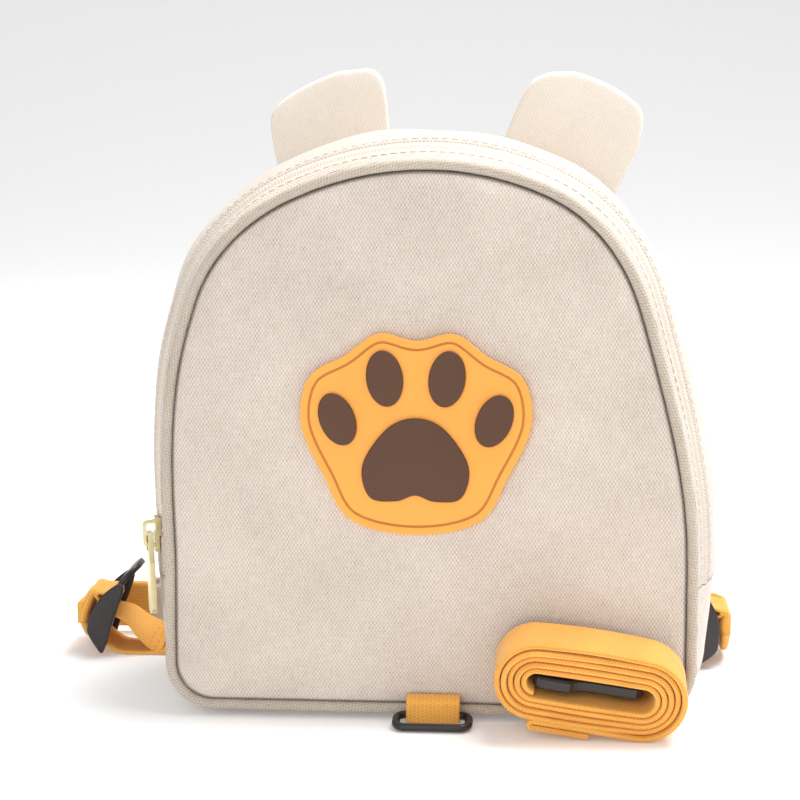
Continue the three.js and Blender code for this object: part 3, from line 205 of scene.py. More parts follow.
# The bag's shape: one seam runs round the front and one round the back, both on the same arched outline, which
# sways a little to the left, and a padded gusset swells out between them. Millimetres, as in the part.
ARCH = ((1.18, 25), (0.68, 47), (2.88, 18))
HALF_WIDTH, TALL, BASE_LINE, CORNER = 97.5, 202.5, 4.4, 16.0
BACK_SEAM = 40.0


def smooth(value, low, high):
    share = np.clip((value - low) / (high - low), 0, 1)
    return share * share * (3 - 2 * share)


def walked_outline():
    pieces, x, drop, angle = [], 0.0, 0.0, 0.0
    for radius, turn in ARCH:
        a, b = math.radians(angle), math.radians(angle + turn)
        pieces.append((radius, angle, angle + turn, x, drop))
        x += radius * (math.sin(b) - math.sin(a))
        drop += radius * (math.cos(a) - math.cos(b))
        angle += turn
    scale = HALF_WIDTH / x
    top = BASE_LINE + TALL
    rows = [np.array([[0, BASE_LINE, 0, -1], [HALF_WIDTH - CORNER, BASE_LINE, 0, -1]])]

    def arc(cx, cz, radius, start, end):
        turn = np.radians(np.linspace(start, end, 40))
        nx, nz = np.sin(turn), np.cos(turn)
        rows.append(np.stack([cx + radius * nx, cz + radius * nz, nx, nz], 1))

    arc(HALF_WIDTH - CORNER, BASE_LINE + CORNER, CORNER, 180, 90)
    for radius, start, end, x, drop in reversed(pieces):
        cx = x * scale - radius * scale * math.sin(math.radians(start))
        cz = top - drop * scale - radius * scale * math.cos(math.radians(start))
        arc(cx, cz, radius * scale, end, start)
    right = np.concatenate(rows)
    left = right[::-1][1:] * [-1, 1, -1, 1]
    ring = np.concatenate([right, left])
    steps = np.hypot(*np.diff(ring[:, :2], axis=0).T)
    keep = np.concatenate([[True], steps > 1e-9])
    return np.concatenate([[0], np.cumsum(steps)])[keep], ring[keep]


WALKED, RING = walked_outline()
PERIMETER = WALKED[-1]


def outline(length):
    """The seam line's x, z and outward normal at a length from the middle of the base, going right."""
    x, z, nx, nz = (np.interp(np.mod(length, PERIMETER), WALKED, RING[:, i]) for i in range(4))
    share = (z - BASE_LINE) / TALL
    sway = 5.6 * smooth(share, 0.25, 0.7)
    tilt = 0.03 * x * smooth(share, 0.75, 1)
    size = np.hypot(nx, nz)
    return x - sway, z + tilt, nx / size, nz / size


def front_seam(z):
    return -BACK_SEAM + 12 * (z - BASE_LINE) / TALL


def gusset(length, distance, lift=0.0):
    """A point of the gusset, a distance behind the front seam, lifted off its outer face."""
    x, z, nx, nz = outline(length)
    front = front_seam(z)
    share = np.clip(distance / (BACK_SEAM - front), 0, 1)
    full = 1 - np.abs(2 * share - 1) ** 1.8
    out = (6.5 + 4.5 * smooth(z, 0, 62)) * full + lift
    return x + nx * out, front + distance, np.maximum(z + nz * out, -lift)


def rumple(a, b, size, seed=0.0):
    """Soft unevenness from -1 to 1, with swells about as long as size."""
    total = 0.0
    for i, turn in enumerate((0.3, 1.4, 2.5, 3.9, 5.1)):
        wave = (a * math.cos(turn) + b * math.sin(turn)) * 2 * math.pi / (size * (0.8 + 0.17 * i))
        total = total + np.sin(wave + seed * (i + 1.7) + 1.3 * i)
    return total / 3.2


def laid_cloth(name, across, along, place, texture, joined=False):
    """A grid of cloth whose points lie where place says, with texture giving its UV map, both in mm."""
    bpy.ops.object.select_all(action="DESELECT")
    bpy.ops.mesh.primitive_grid_add(x_subdivisions=across, y_subdivisions=along, size=1)
    piece = bpy.context.object
    piece.name = piece.data.name = name
    mesh = piece.data
    grid = np.empty(len(mesh.vertices) * 3)
    mesh.vertices.foreach_get("co", grid)
    s, t = grid.reshape(-1, 3)[:, 0] + 0.5, grid.reshape(-1, 3)[:, 1] + 0.5
    mesh.vertices.foreach_set("co", (np.stack(place(s, t), 1) * MM).ravel())
    corners = np.empty(len(mesh.loops), int)
    mesh.loops.foreach_get("vertex_index", corners)
    flat = np.stack(texture(s, t), 1)[corners] * MM
    mesh.uv_layers.active.data.foreach_set("uv", flat.ravel())
    mesh.update()
    if joined:
        bpy.ops.object.mode_set(mode="EDIT")
        bpy.ops.mesh.select_all(action="SELECT")
        bpy.ops.mesh.remove_doubles(threshold=0.00002)
        bpy.ops.object.mode_set(mode="OBJECT")
    return piece


def face_out(piece, inside=(0, 0, 100)):
    """Turns the faces away from a point, in mm."""
    middle = Vector(inside) * MM
    facing = sum((p.center - middle).dot(p.normal) * p.area for p in piece.data.polygons)
    if facing < 0:
        bpy.ops.object.select_all(action="DESELECT")
        piece.select_set(True)
        bpy.context.view_layer.objects.active = piece
        bpy.ops.object.mode_set(mode="EDIT")
        bpy.ops.mesh.select_all(action="SELECT")
        bpy.ops.mesh.flip_normals()
        bpy.ops.object.mode_set(mode="OBJECT")
    return piece


def modified(piece, kind, **settings):
    """Adds a modifier to a piece and applies it."""
    bpy.ops.object.select_all(action="DESELECT")
    piece.select_set(True)
    bpy.context.view_layer.objects.active = piece
    change = piece.modifiers.new(kind.lower(), kind)
    for key, value in settings.items():
        setattr(change, key, value)
    bpy.ops.object.modifier_apply(modifier=change.name)
    return piece


def finished(piece, material, slot, *nodes, body="bag"):
    """Gives a piece its material and its place in the frame."""
    piece.data.materials.clear()
    piece.data.materials.append(material)
    piece.data.shade_smooth()
    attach(piece, body)
    if nodes:
        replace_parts(piece, *nodes)
    return piece


# Gusset: the canvas wall between the two seams. A narrow strip in front of the zip and a wide one behind it both
# have their edge turned under beside the zip, and a third, lower strip joins them round the base.
WALK = np.linspace(0, PERIMETER / 2, 4000)
ZIP_START = float(np.interp(50.2, outline(WALK)[1], WALK))
ZIP_END = PERIMETER - ZIP_START
SEAM_EDGE, ZIP_NEAR, ZIP_FAR = 2.3, 10.0, 17.0


def turned_under(distance, near, far, roll=1.1, drop=1.3):
    """How far a strip's surface sinks towards the edges that are turned under beside the zip."""
    a = np.clip(1 - (distance - near) / roll, 0, 1) * (near > SEAM_EDGE)
    b = np.clip(1 - (far - distance) / roll, 0, 1)
    return -drop * (1 - np.sqrt(1 - np.minimum(a * a + b * b, 1)))


def gusset_strip(name, start, end, near, far, across, along, slack, seed):
    def place(s, t):
        length = start + (end - start) * s
        stop = (BACK_SEAM - front_seam(outline(length)[1]) - 0.3) if far is None else far
        share = np.sin((t - 0.5) * math.pi) * 0.5 + 0.5
        distance = near + (stop - near) * share
        soft = slack * rumple(length, distance, 46, seed) * np.sin(math.pi * share)
        return gusset(length, distance, turned_under(distance, near, stop) + soft)

    def texture(s, t):
        length = start + (end - start) * s
        return length, near + ((far or 76.0) - near) * (np.sin((t - 0.5) * math.pi) * 0.5 + 0.5)

    strip = face_out(laid_cloth(name, across, along, place, texture))
    modified(strip, "SOLIDIFY", thickness=1.5 * MM, offset=-1)
    finished(strip, canvas, "canvas")
    (end - start) * MM
    return strip


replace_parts(gusset_strip("gusset_front", ZIP_START, ZIP_END, SEAM_EDGE, ZIP_NEAR, 240, 10, 0.15, 1), "zip_gusset_front")
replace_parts(gusset_strip("gusset_rear", ZIP_START, ZIP_END, ZIP_FAR, None, 260, 36, 0.9, 2), "zip_gusset_rear")
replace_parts(gusset_strip("gusset_base", 0.3 - ZIP_START, ZIP_START - 0.3, SEAM_EDGE, None, 200, 44, 0.5, 3), "base_gusset")

# Zip: a cream tape with a nylon coil sewn along its middle, closed. The coil is one ridge of interlocked loops.
tape_white, tape_surface, tape_shade = start_material("zip_tape")
tape_uv = tape_shade.node("ShaderNodeUVMap", {"uv_map": "UVMap"}, {})
tape_along = tape_shade.node("ShaderNodeSeparateXYZ", {}, {0: tape_uv}) * (2 * math.pi / 0.0008)
tape_ribs = tape_along.math("SINE", tape_along) * 0.5 + 0.5
set_surface(tape_shade, tape_surface, {
    "Base Color": tape_shade.blend(tape_ribs, (0.62, 0.54, 0.44, 1), (0.78, 0.71, 0.62, 1)),
    "Roughness": 0.7,
    "Sheen Weight": 0.2,
    "Normal": tape_shade.node("ShaderNodeBump", {}, {"Strength": 0.4, "Distance": 0.0001, "Height": tape_ribs}),
})
COIL_PITCH = 1.25


def zip_place(s, t):
    length = ZIP_START + (ZIP_END - ZIP_START) * s
    distance = ZIP_NEAR - 0.5 + (ZIP_FAR - ZIP_NEAR + 1) * t
    across = np.abs(distance - 13.5)
    teeth = 0.5 + 0.5 * np.cos(2 * math.pi * length / COIL_PITCH + (distance > 13.5) * math.pi)
    coil = np.sqrt(np.clip(1 - (across / 1.75) ** 4, 0, 1))
    groove = 0.35 * np.exp(-((across / 0.25) ** 2))
    return gusset(length, distance, -0.75 + coil * (0.75 + 0.4 * teeth) - groove)


def zip_texture(s, t):
    return (ZIP_END - ZIP_START) * s, 8 * t


zip_line = face_out(laid_cloth("zip_coil", 1240, 20, zip_place, zip_texture))
modified(zip_line, "SOLIDIFY", thickness=0.8 * MM, offset=-1)
finished(zip_line, tape_white, "canvas", "zip_chain")

THREAD_LONG, THREAD_STEP = 2.7, 3.5


def sewn(name, spots, material, slot):
    """Rows of stitches, one at each spot: its middle, the way that it runs and the way that it faces, in mm."""
    bpy.ops.object.select_all(action="DESELECT")
    bpy.ops.mesh.primitive_uv_sphere_add(segments=8, ring_count=6, radius=0.5 * MM)
    first = bpy.context.object
    spots = [[Vector(v) for v in spot] for spot in spots]
    copies = []
    for middle, along, out in spots:
        copy = bpy.data.objects.new(name, first.data.copy())
        bpy.context.collection.objects.link(copy)
        along, out = along.normalized(), out.normalized()
        side = out.cross(along).normalized()
        turned = Matrix((along, side, along.cross(side))).transposed().to_4x4()
        copy.data.transform(Matrix.Translation(middle * MM) @ turned @ Matrix.Diagonal((THREAD_LONG, 0.75, 0.55, 1)))
        copy.select_set(True)
        copies.append(copy)
    first.select_set(False)
    bpy.context.view_layer.objects.active = copies[0]
    bpy.ops.object.join()
    bpy.data.objects.remove(first)
    copies[0].name = copies[0].data.name = name
    return finished(copies[0], material, slot)


def thread(name, colours):
    made, surface, shade = start_material(name)
    where = shade.node("ShaderNodeTexCoord", {}, {}, 3)
    ply = shade.noise(where, 3500, 1)
    set_surface(shade, surface, {
        "Base Color": shade.blend(ply, (*colours[0], 1), (*colours[1], 1)),
        "Roughness": 0.6,
        "Sheen Weight": 0.2,
        "Normal": shade.node("ShaderNodeBump", {}, {"Strength": 0.4, "Distance": 0.0001, "Height": ply}),
    })
    return made


cream_thread = thread("cream_thread", ((0.62, 0.53, 0.43), (0.86, 0.78, 0.68)))
seam_spots = []
for distance in (ZIP_NEAR - 2.1, ZIP_FAR + 2.1):
    at = np.arange(ZIP_START + 4, ZIP_END - 4, THREAD_STEP)
    here = np.stack(gusset(at, distance, 0.1), 1)
    ahead = np.stack(gusset(at + 0.5, distance, 0.1), 1) - here
    out = np.stack(gusset(at, distance, 1.1), 1) - here
    seam_spots += list(zip(here, ahead, out))
sewn("zip_stitches", seam_spots, cream_thread, "canvas")

# Piping: a cord covered with a bias strip of the canvas, sewn into the seam round the front panel.
PIPING = 2.05


def piping_place(s, t):
    x, z, nx, nz = outline(PERIMETER * s)
    turn = 2 * math.pi * t
    size = PIPING + 0.07 * rumple(PERIMETER * s, 6 * t, 9, 4)
    out = size * np.cos(turn)
    return x + nx * out, front_seam(z) + size * np.sin(turn), z + nz * out


def piping_texture(s, t):
    run, girth = PERIMETER * s, 2 * math.pi * PIPING * t
    return (run + girth) * 0.7071, (run - girth) * 0.7071


piping = laid_cloth("piping_cord", 520, 16, piping_place, piping_texture, joined=True)
bpy.ops.object.mode_set(mode="EDIT")
bpy.ops.mesh.normals_make_consistent(inside=False)
bpy.ops.object.mode_set(mode="OBJECT")
# The piping wears the darker copy of the canvas, which has painted shade.
finished(piping, painted_shade_piping_cloth, "canvas", "piping")

# Front panel: foam-backed canvas, sewn in all round, so that it stands out like a shallow cushion. It has two
# soft dents at its upper right and small puckers along its lower seam.
MIDDLE_Z = BASE_LINE + 0.47 * TALL
SHOULDER = 275.0
SIDES = (0, 94.07, SHOULDER, PERIMETER / 2, PERIMETER - SHOULDER, PERIMETER - 94.07, PERIMETER)


def panel_spot(s, t, inset):
    """Where a square of cloth lies on the panel: its sides follow the outline, its corners the bag's corners."""
    a, b = 2 * s - 1, 2 * t - 1
    reach = np.maximum(np.maximum(np.abs(a), np.abs(b)), 1e-9)
    ea, eb = a / reach, b / reach
    low, right, high = eb < -1 + 1e-9, ea > 1 - 1e-9, eb > 1 - 1e-9
    side = np.where(low & (ea >= 0), ea, np.where(low, 8 + ea, np.where(right, 2 + eb, np.where(high, 4 - ea, 6 - eb))))
    length = np.interp(side, (0, 1, 3, 4, 5, 7, 8), SIDES)
    x, z, nx, nz = outline(length)
    x, z = x - nx * inset, z - nz * inset
    return reach * x, MIDDLE_Z + (z - MIDDLE_Z) * reach, reach


DENTS = (
    (0.34, 0.84, 0.11, 0.09, 0.13),
    (0.56, 0.80, 0.10, 0.10, 0.16),
    (0.62, 0.30, 0.30, 0.16, 0.10),
)


def panel_place(s, t):
    x, z, reach = panel_spot(s, t, 2.15)
    stand = (1 - np.minimum(reach, 1) ** 2.3) ** 0.52
    y = front_seam(z) - 0.9 - 8.5 * stand
    return x, y, z


def flat_texture(spot):
    def texture(s, t):
        x, z, _ = spot(s, t, 0)
        return x, z
    return texture


panel = face_out(laid_cloth("front_cushion", 76, 76, panel_place, flat_texture(panel_spot)))
points = np.empty(len(panel.data.vertices) * 3)
panel.data.vertices.foreach_get("co", points)
flat_points = points.reshape(-1, 3).copy()
reach = panel_spot(*(np.array([(i / 76, j / 76) for j in range(77) for i in range(77)]).T), 2.15)[2]
held = panel.vertex_groups.new(name="sewn")
for i in np.flatnonzero(reach > 0.965):
    held.add([int(i)], 1.0, "REPLACE")
cloth = panel.modifiers.new("cloth", "CLOTH")
cloth.settings.quality = 6
cloth.settings.mass = 0.4
cloth.settings.tension_stiffness = 22
cloth.settings.compression_stiffness = 18
cloth.settings.bending_stiffness = 1.2
cloth.settings.vertex_group_mass = "sewn"
cloth.settings.use_pressure = True
cloth.settings.uniform_pressure_force = 1.2
cloth.settings.effector_weights.gravity = 0
cloth.collision_settings.use_collision = False
cloth.point_cache.frame_end = 20
for step in range(1, 21):
    bpy.context.scene.frame_set(step)
bpy.ops.object.select_all(action="DESELECT")
panel.select_set(True)
bpy.context.view_layer.objects.active = panel
bpy.ops.object.modifier_apply(modifier="cloth")
bpy.context.scene.frame_set(1)
panel.data.vertices.foreach_get("co", points)
settled = points.reshape(-1, 3)
moved = settled - flat_points
far = np.linalg.norm(moved, axis=1, keepdims=True)
settled = flat_points + moved * np.minimum(1, 1.2 * MM / np.maximum(far, 1e-9))
panel.data.vertices.foreach_set("co", settled.ravel())
modified(panel, "SUBSURF", levels=1, render_levels=1)
points = np.empty(len(panel.data.vertices) * 3)
panel.data.vertices.foreach_get("co", points)
spot = points.reshape(-1, 3)
x, z = spot[:, 0] / MM, spot[:, 2] / MM
edge_x = np.interp(z, [0, 220], [97, 97])
inward = 0.55 * rumple(x, z, 62, 5) + 0.22 * rumple(x, z, 23, 6)
for dent_x, dent_z, wide, tall, deep in DENTS:
    across, up = (x / HALF_WIDTH - dent_x) / wide, ((z - BASE_LINE) / TALL - dent_z) / tall
    inward += 8.5 * deep * np.exp(-across * across - up * up)
for pucker_x, wide, deep in ((-46, 5, 1.1), (-22, 4, 1.2), (-12, 3, 0.8), (-30, 3, -0.5), (16, 5, 0.6), (38, 4, 0.5)):
    inward += deep * np.exp(-(((x - pucker_x) / wide) ** 2)) * np.exp(-np.clip(z - 8, 0, 99) / 9)
near_edge = smooth(-spot[:, 1] / MM - (-front_seam(z)), 0.5, 5)
spot[:, 1] += inward * near_edge * MM
badge_plane = -46.4 + (z - 109.4) * 0.0593
in_badge = smooth(60 - np.hypot((x + 4.7) * 1.0, (z - 109.4) * 1.1), 0, 14)
spot[:, 1] = np.maximum(spot[:, 1] / MM, np.where(in_badge > 0, (badge_plane + 1.0) * in_badge + (1 - in_badge) * -99, -99)) * MM
panel.data.vertices.foreach_set("co", points)
# Painted shade for the seam: the panel's outermost millimetre beside the piping is marked, and the cloth's colour
# darkens there to stand in for the groove's shadow.
edge_points = np.stack(outline(np.linspace(0, PERIMETER, 1600))[:2], 1)
gap_to_edge = np.array([np.min(np.hypot(edge_points[:, 0] - a, edge_points[:, 1] - b)) for a, b in zip(x, z)])
line = panel.data.attributes.new("seam", "FLOAT", "POINT")
line.data.foreach_set("value", smooth(3.3 - gap_to_edge, 0, 0.9))
modified(panel, "SOLIDIFY", thickness=1.6 * MM, offset=-1)
finished(panel, canvas, "canvas", "front_panel")

# Back panel: the same canvas over a firmer foam, nearly flat, sewn to the gusset's rear edge.
def back_place(s, t):
    x, z, reach = panel_spot(s, t, 0.2)
    stand = (1 - np.minimum(reach, 1) ** 2.3) ** 0.52
    return x, BACK_SEAM + 1.6 + (4 - 0.5) * stand + 0.35 * rumple(x, z, 50, 8) * (1 - reach), z


back = face_out(laid_cloth("back_cushion", 100, 100, back_place, flat_texture(panel_spot)))
modified(back, "SOLIDIFY", thickness=1.5 * MM, offset=-1)
finished(back, canvas, "canvas", "back_panel")

# Ears: two layers of the canvas with a little wadding, sewn edge to edge, turned out and caught in the back seam.
# Each row is a share of the ear's width out from its middle and of its height above the seam.
EAR_WIDTH, EAR_HEIGHT, EAR_Y = 47.0, 41.0, 41.7
EARS = {
    "ear_left": (-0.457 * HALF_WIDTH, -1, -0.5, 0.4, (
        (-0.5, 0.42), (-0.48, 0.72), (-0.443, 0.907), (-0.357, 0.992), (-0.2, 0.985), (-0.04, 0.954),
        (0.226, 0.82), (0.4, 0.69), (0.475, 0.59), (0.5, 0.463), (0.475, 0.22), (0.43, -0.03),
    )),
    "ear_right": (0.513 * HALF_WIDTH, 1, -0.62, 0.298, (
        (-0.543, 0.46), (-0.44, 0.75), (-0.33, 0.99), (-0.196, 1.085), (-0.06, 1.1), (0.079, 1.09),
        (0.353, 0.968), (0.545, 0.82), (0.607, 0.72), (0.617, 0.607), (0.572, 0.341), (0.434, 0.024),
    )),
}


def evenly(rows, count):
    """Points spaced evenly along straight lines through rows."""
    rows = np.asarray(rows, float)
    steps = np.concatenate([[0], np.cumsum(np.linalg.norm(np.diff(rows, axis=0), axis=1))])
    at = np.linspace(0, steps[-1], count)
    return np.stack([np.interp(at, steps, column) for column in rows.T], 1)


def curved(rows, count, closed=False):
    """Points spaced evenly along a smooth curve through rows."""
    rows = np.asarray(rows, float)
    ends = [rows[-1:], rows, rows[:2]] if closed else [2 * rows[:1] - rows[1:2], rows, 2 * rows[-1:] - rows[-2:-1]]
    padded = np.concatenate(ends)
    spans = len(padded) - 3
    at = np.linspace(0, spans, 24 * spans + 1)
    i = np.minimum(at.astype(int), spans - 1)
    f = (at - i)[:, None]
    a, b, c, d = (padded[i + k] for k in range(4))
    line = 0.5 * (2 * b + (c - a) * f + (2 * a - 5 * b + 4 * c - d) * f * f + (3 * b - a - 3 * c + d) * f**3)
    return evenly(line, count)


def seam_length(x):
    upper = np.linspace(ZIP_START, ZIP_END, 3000)
    return np.interp(-x, -outline(upper)[0], upper)


for name, (middle, sign, foot_in, foot_out, rows) in EARS.items():
    seam_z = float(outline(seam_length(middle))[1])
    foot = np.linspace(seam_length(middle + sign * foot_out * EAR_WIDTH), seam_length(middle + sign * foot_in * EAR_WIDTH), 30)
    foot_x, foot_z, foot_nx, foot_nz = outline(foot)
    foot = np.stack([foot_x + foot_nx * 0.5, foot_z + foot_nz * 0.5], 1)
    rows = [(middle + sign * out * EAR_WIDTH, seam_z + up * EAR_HEIGHT) for out, up in rows]
    edge = np.concatenate([curved([foot[-1], *rows, foot[0]], 170), foot[1:]])
    edge = evenly(edge, 221)
    heart = edge[:-1].mean(0)

    def ear_place(s, t):
        reach = 1 - np.abs(2 * t - 1)
        x = heart[0] + (np.interp(s * 220, np.arange(221), edge[:, 0]) - heart[0]) * reach
        z = heart[1] + (np.interp(s * 220, np.arange(221), edge[:, 1]) - heart[1]) * reach
        half = 0.35 + 1.45 * np.sqrt(1 - np.minimum(reach, 1) ** 5) + 0.12 * rumple(x, z, 17, 3)
        half = np.where(np.abs(reach - 1) < 1e-6, 0, half)
        bow = 0.5 * rumple(x, z, 60, middle) * smooth(z, heart[1] - 20, heart[1] + 20)
        return x, EAR_Y + bow + half * np.sign(t - 0.5), z

    def ear_texture(s, t):
        x, _, z = ear_place(s, t)
        return x + 0.2 * z, z - 0.2 * x

    ear = laid_cloth(name + "_cloth", 220, 48, ear_place, ear_texture, joined=True)
    bpy.ops.object.mode_set(mode="EDIT")
    bpy.ops.mesh.normals_make_consistent(inside=False)
    bpy.ops.object.mode_set(mode="OBJECT")
    # The ears wear the paler copy of the canvas, which has painted light.
    finished(ear, painted_light_ear_cloth, "canvas", name)

# Badge: a soft moulded patch, glued and sewn to the panel, with a raised rim, a groove for its stitches and a paw
# print in brown. Its plate is drawn flat and then leant back with the panel.
ORANGE_DEEP = (0.62, 0.27, 0.06, 1)


def moulded(name, colours, roughness, relief):
    made, surface, shade = start_material(name)
    where = shade.node("ShaderNodeTexCoord", {}, {}, 3)
    grain = shade.noise(where, 2600, 2)
    cloud = shade.noise(where, 45, 2)
    tone = shade.math("MULTIPLY_ADD", cloud, 0.8, grain * 0.2)
    colour = shade.blend(tone, (*colours[0], 1), (*colours[1], 1))
    groove = shade.node("ShaderNodeAttribute", {"attribute_name": "groove"}, {}, 2)
    set_surface(shade, surface, {
        "Base Color": shade.blend(groove, colour, ORANGE_DEEP),
        "Roughness": shade.math("MULTIPLY_ADD", cloud, 0.16, roughness - 0.08),
        "Specular IOR Level": 0.4,
        "Normal": shade.node("ShaderNodeBump", {}, {"Strength": 0.35, "Distance": relief, "Height": grain}),
    })
    return made


orange_rubber = moulded("orange_rubber", ((0.90, 0.36, 0.055), (0.98, 0.43, 0.075)), 0.5, 0.00006)
brown_rubber = moulded("brown_rubber", ((0.08, 0.032, 0.014), (0.11, 0.045, 0.02)), 0.5, 0.00006)
BADGE_X, BADGE_Y, BADGE_Z, BADGE_WIDE, BADGE_TALL = -4.7, -43.45, 109.4, 42.2, 37.0
BADGE_LEAN = math.atan(12 / TALL)
BADGE_EDGE = (
    (1, 0.1), (0.93, 0.56), (0.62, 0.78), (0.33, 1), (0, 0.93), (-0.33, 1), (-0.62, 0.78), (-0.93, 0.56),
    (-1, 0.1), (-0.8, -0.42), (-0.56, -0.86), (0, -1), (0.56, -0.86), (0.8, -0.42),
)
PAD_EDGE = (
    (0.46, -0.3), (0.25, 0.06), (0, 0.17), (-0.25, 0.06), (-0.46, -0.3),
    (-0.4, -0.62), (-0.17, -0.66), (0, -0.6), (0.17, -0.66), (0.4, -0.62),
)
TOES = ((-0.68, 0.15, 0.155, 0.27, 22), (-0.27, 0.56, 0.16, 0.28, 8), (0.27, 0.56, 0.16, 0.28, -8), (0.68, 0.15, 0.155, 0.27, -22))


def disc(name, edge, lift):
    """A flat face in the badge's own plane, seen from the front, with its outline along edge, in mm."""
    bpy.ops.object.select_all(action="DESELECT")
    bpy.ops.mesh.primitive_circle_add(vertices=len(edge), fill_type="NGON", radius=0.01)
    piece = bpy.context.object
    piece.name = piece.data.name = name
    for vertex, (x, z) in zip(piece.data.vertices, edge):
        vertex.co = (x * MM, -lift * MM, z * MM)
    bpy.ops.object.mode_set(mode="EDIT")
    bpy.ops.mesh.select_all(action="SELECT")
    bpy.ops.mesh.normals_make_consistent(inside=False)
    return piece


def raise_face(height):
    bpy.ops.mesh.extrude_region_move(TRANSFORM_OT_translate={"value": (0, -height * MM, 0)})


def close_back(piece, lift):
    """Fills the back of an extruded face and turns its normals out."""
    bpy.ops.mesh.select_all(action="DESELECT")
    bpy.ops.mesh.select_mode(type="EDGE")
    bpy.ops.mesh.select_non_manifold()
    if piece.data.total_edge_sel:
        bpy.ops.mesh.edge_face_add()
    bpy.ops.mesh.select_all(action="SELECT")
    bpy.ops.mesh.normals_make_consistent(inside=False)
    bpy.ops.object.mode_set(mode="OBJECT")


def onto_panel(piece):
    piece.data.transform(Matrix.Translation((BADGE_X * MM, BADGE_Y * MM, BADGE_Z * MM))
                         @ Matrix.Rotation(-BADGE_LEAN, 4, "X"))
    return piece


backing = disc("badge_plate", curved([(x * BADGE_WIDE, z * BADGE_TALL) for x, z in BADGE_EDGE], 141, True)[:-1], 0)
raise_face(2.1)
bpy.ops.mesh.inset(thickness=2.8 * MM, use_even_offset=True)
raise_face(-0.75)
bpy.ops.mesh.inset(thickness=0.8 * MM, use_even_offset=True)
raise_face(0.75)
close_back(backing, 0)
modified(backing, "BEVEL", width=0.3 * MM, segments=3, limit_method="ANGLE", angle_limit=0.7)
depth = [-v.co.y / MM for v in backing.data.vertices]
rim = np.array([(v.co.x / BADGE_WIDE / MM) ** 2 + (v.co.z / BADGE_TALL / MM) ** 2 for v in backing.data.vertices])
shade_line = backing.data.attributes.new("groove", "FLOAT", "POINT")
outer = curved([(x * BADGE_WIDE, z * BADGE_TALL) for x, z in BADGE_EDGE], 400, True)
for i, vertex in enumerate(backing.data.vertices):
    from_edge = np.min(np.hypot(outer[:, 0] - vertex.co.x / MM, outer[:, 1] - vertex.co.z / MM))
    shade_line.data[i].value = 1.0 if depth[i] < 1.75 and from_edge > 2.2 else 0.0
finished(onto_panel(backing), orange_rubber, "badge_orange", "badge_backing")


def pad(name, edge, node):
    piece = disc(name, edge, 2.15)
    raise_face(1.3)
    close_back(piece, 2.15)
    modified(piece, "BEVEL", width=0.6 * MM, segments=4, limit_method="ANGLE", angle_limit=0.9)
    finished(onto_panel(piece), brown_rubber, "badge_brown", node)


pad("paw_pad", curved([(x * BADGE_WIDE, z * BADGE_TALL) for x, z in PAD_EDGE], 101, True)[:-1], "badge_pad")
for i, (x, z, wide, tall, turn) in enumerate(TOES):
    round_ = np.linspace(0, 2 * math.pi, 49)[:-1]
    a, b = wide * BADGE_WIDE * np.cos(round_), tall * BADGE_TALL * np.sin(round_)
    c, d = math.cos(math.radians(turn)), math.sin(math.radians(turn))
    toe = np.stack([x * BADGE_WIDE + a * c - b * d, z * BADGE_TALL + a * d + b * c], 1)
    pad(f"paw_toe_{i + 1}", toe, f"badge_toe_{i + 1}")

# Webbing: a thick rep weave in orange cotton. Every band of it is swept along its middle line.


def woven_webbing(name, light, dark):
    made, surface, shade = start_material(name)
    cloth = shade.node("ShaderNodeUVMap", {"uv_map": "UVMap"}, {})
    along = shade.node("ShaderNodeSeparateXYZ", {}, {0: cloth})
    across = shade.node("ShaderNodeSeparateXYZ", {}, {0: cloth}, 1)
    wander = shade.noise(cloth, 900, 2)
    zigzag = across.math("PINGPONG", across, 0.0015) * 0.8
    picks = (along + zigzag + wander * 0.00025) * (2 * math.pi / 0.00115)
    ribs = picks.math("SINE", picks) * 0.5 + 0.5
    ends = across * (math.pi / 0.0015)
    wales = shade.math("ABSOLUTE", ends.math("SINE", ends))
    fuzz = shade.noise(shade.stretched(cloth, (2200, 1200, 1)), 1, 2)
    height = ribs * 0.5 + wales * 0.3 + fuzz * 0.35
    cloud = shade.noise(cloth, 60, 2)
    tone = shade.math("ADD", height * 0.85, (cloud - 0.5) * 0.5)
    set_surface(shade, surface, {
        "Base Color": shade.blend(tone, (*dark, 1), (*light, 1)),
        "Roughness": 0.85,
        "Sheen Weight": 0.3,
        "Sheen Roughness": 0.45,
        "Sheen Tint": (1, 0.85, 0.6, 1),
        "Specular IOR Level": 0.25,
        "Normal": shade.node("ShaderNodeBump", {}, {"Strength": 0.6, "Distance": 0.00028, "Height": height}),
    })
    return made


orange_webbing = woven_webbing("orange_webbing", (1.0, 0.56, 0.13), (0.66, 0.235, 0.03))


def band_profile(wide, thick, flats, rounds):
    """A band's section, anticlockwise, with half-round edges, as shares of its width and thickness."""
    turn = np.linspace(-math.pi / 2, math.pi / 2, rounds + 1)
    straight = wide / 2 - thick / 2
    right = np.stack([straight + thick / 2 * np.cos(turn), thick / 2 * np.sin(turn)], 1)
    top = np.stack([np.linspace(straight, -straight, flats + 2)[1:-1], np.full(flats, thick / 2)], 1)
    half = np.concatenate([right, top])
    whole = np.concatenate([half, -half])
    return np.concatenate([whole, whole[:1]])


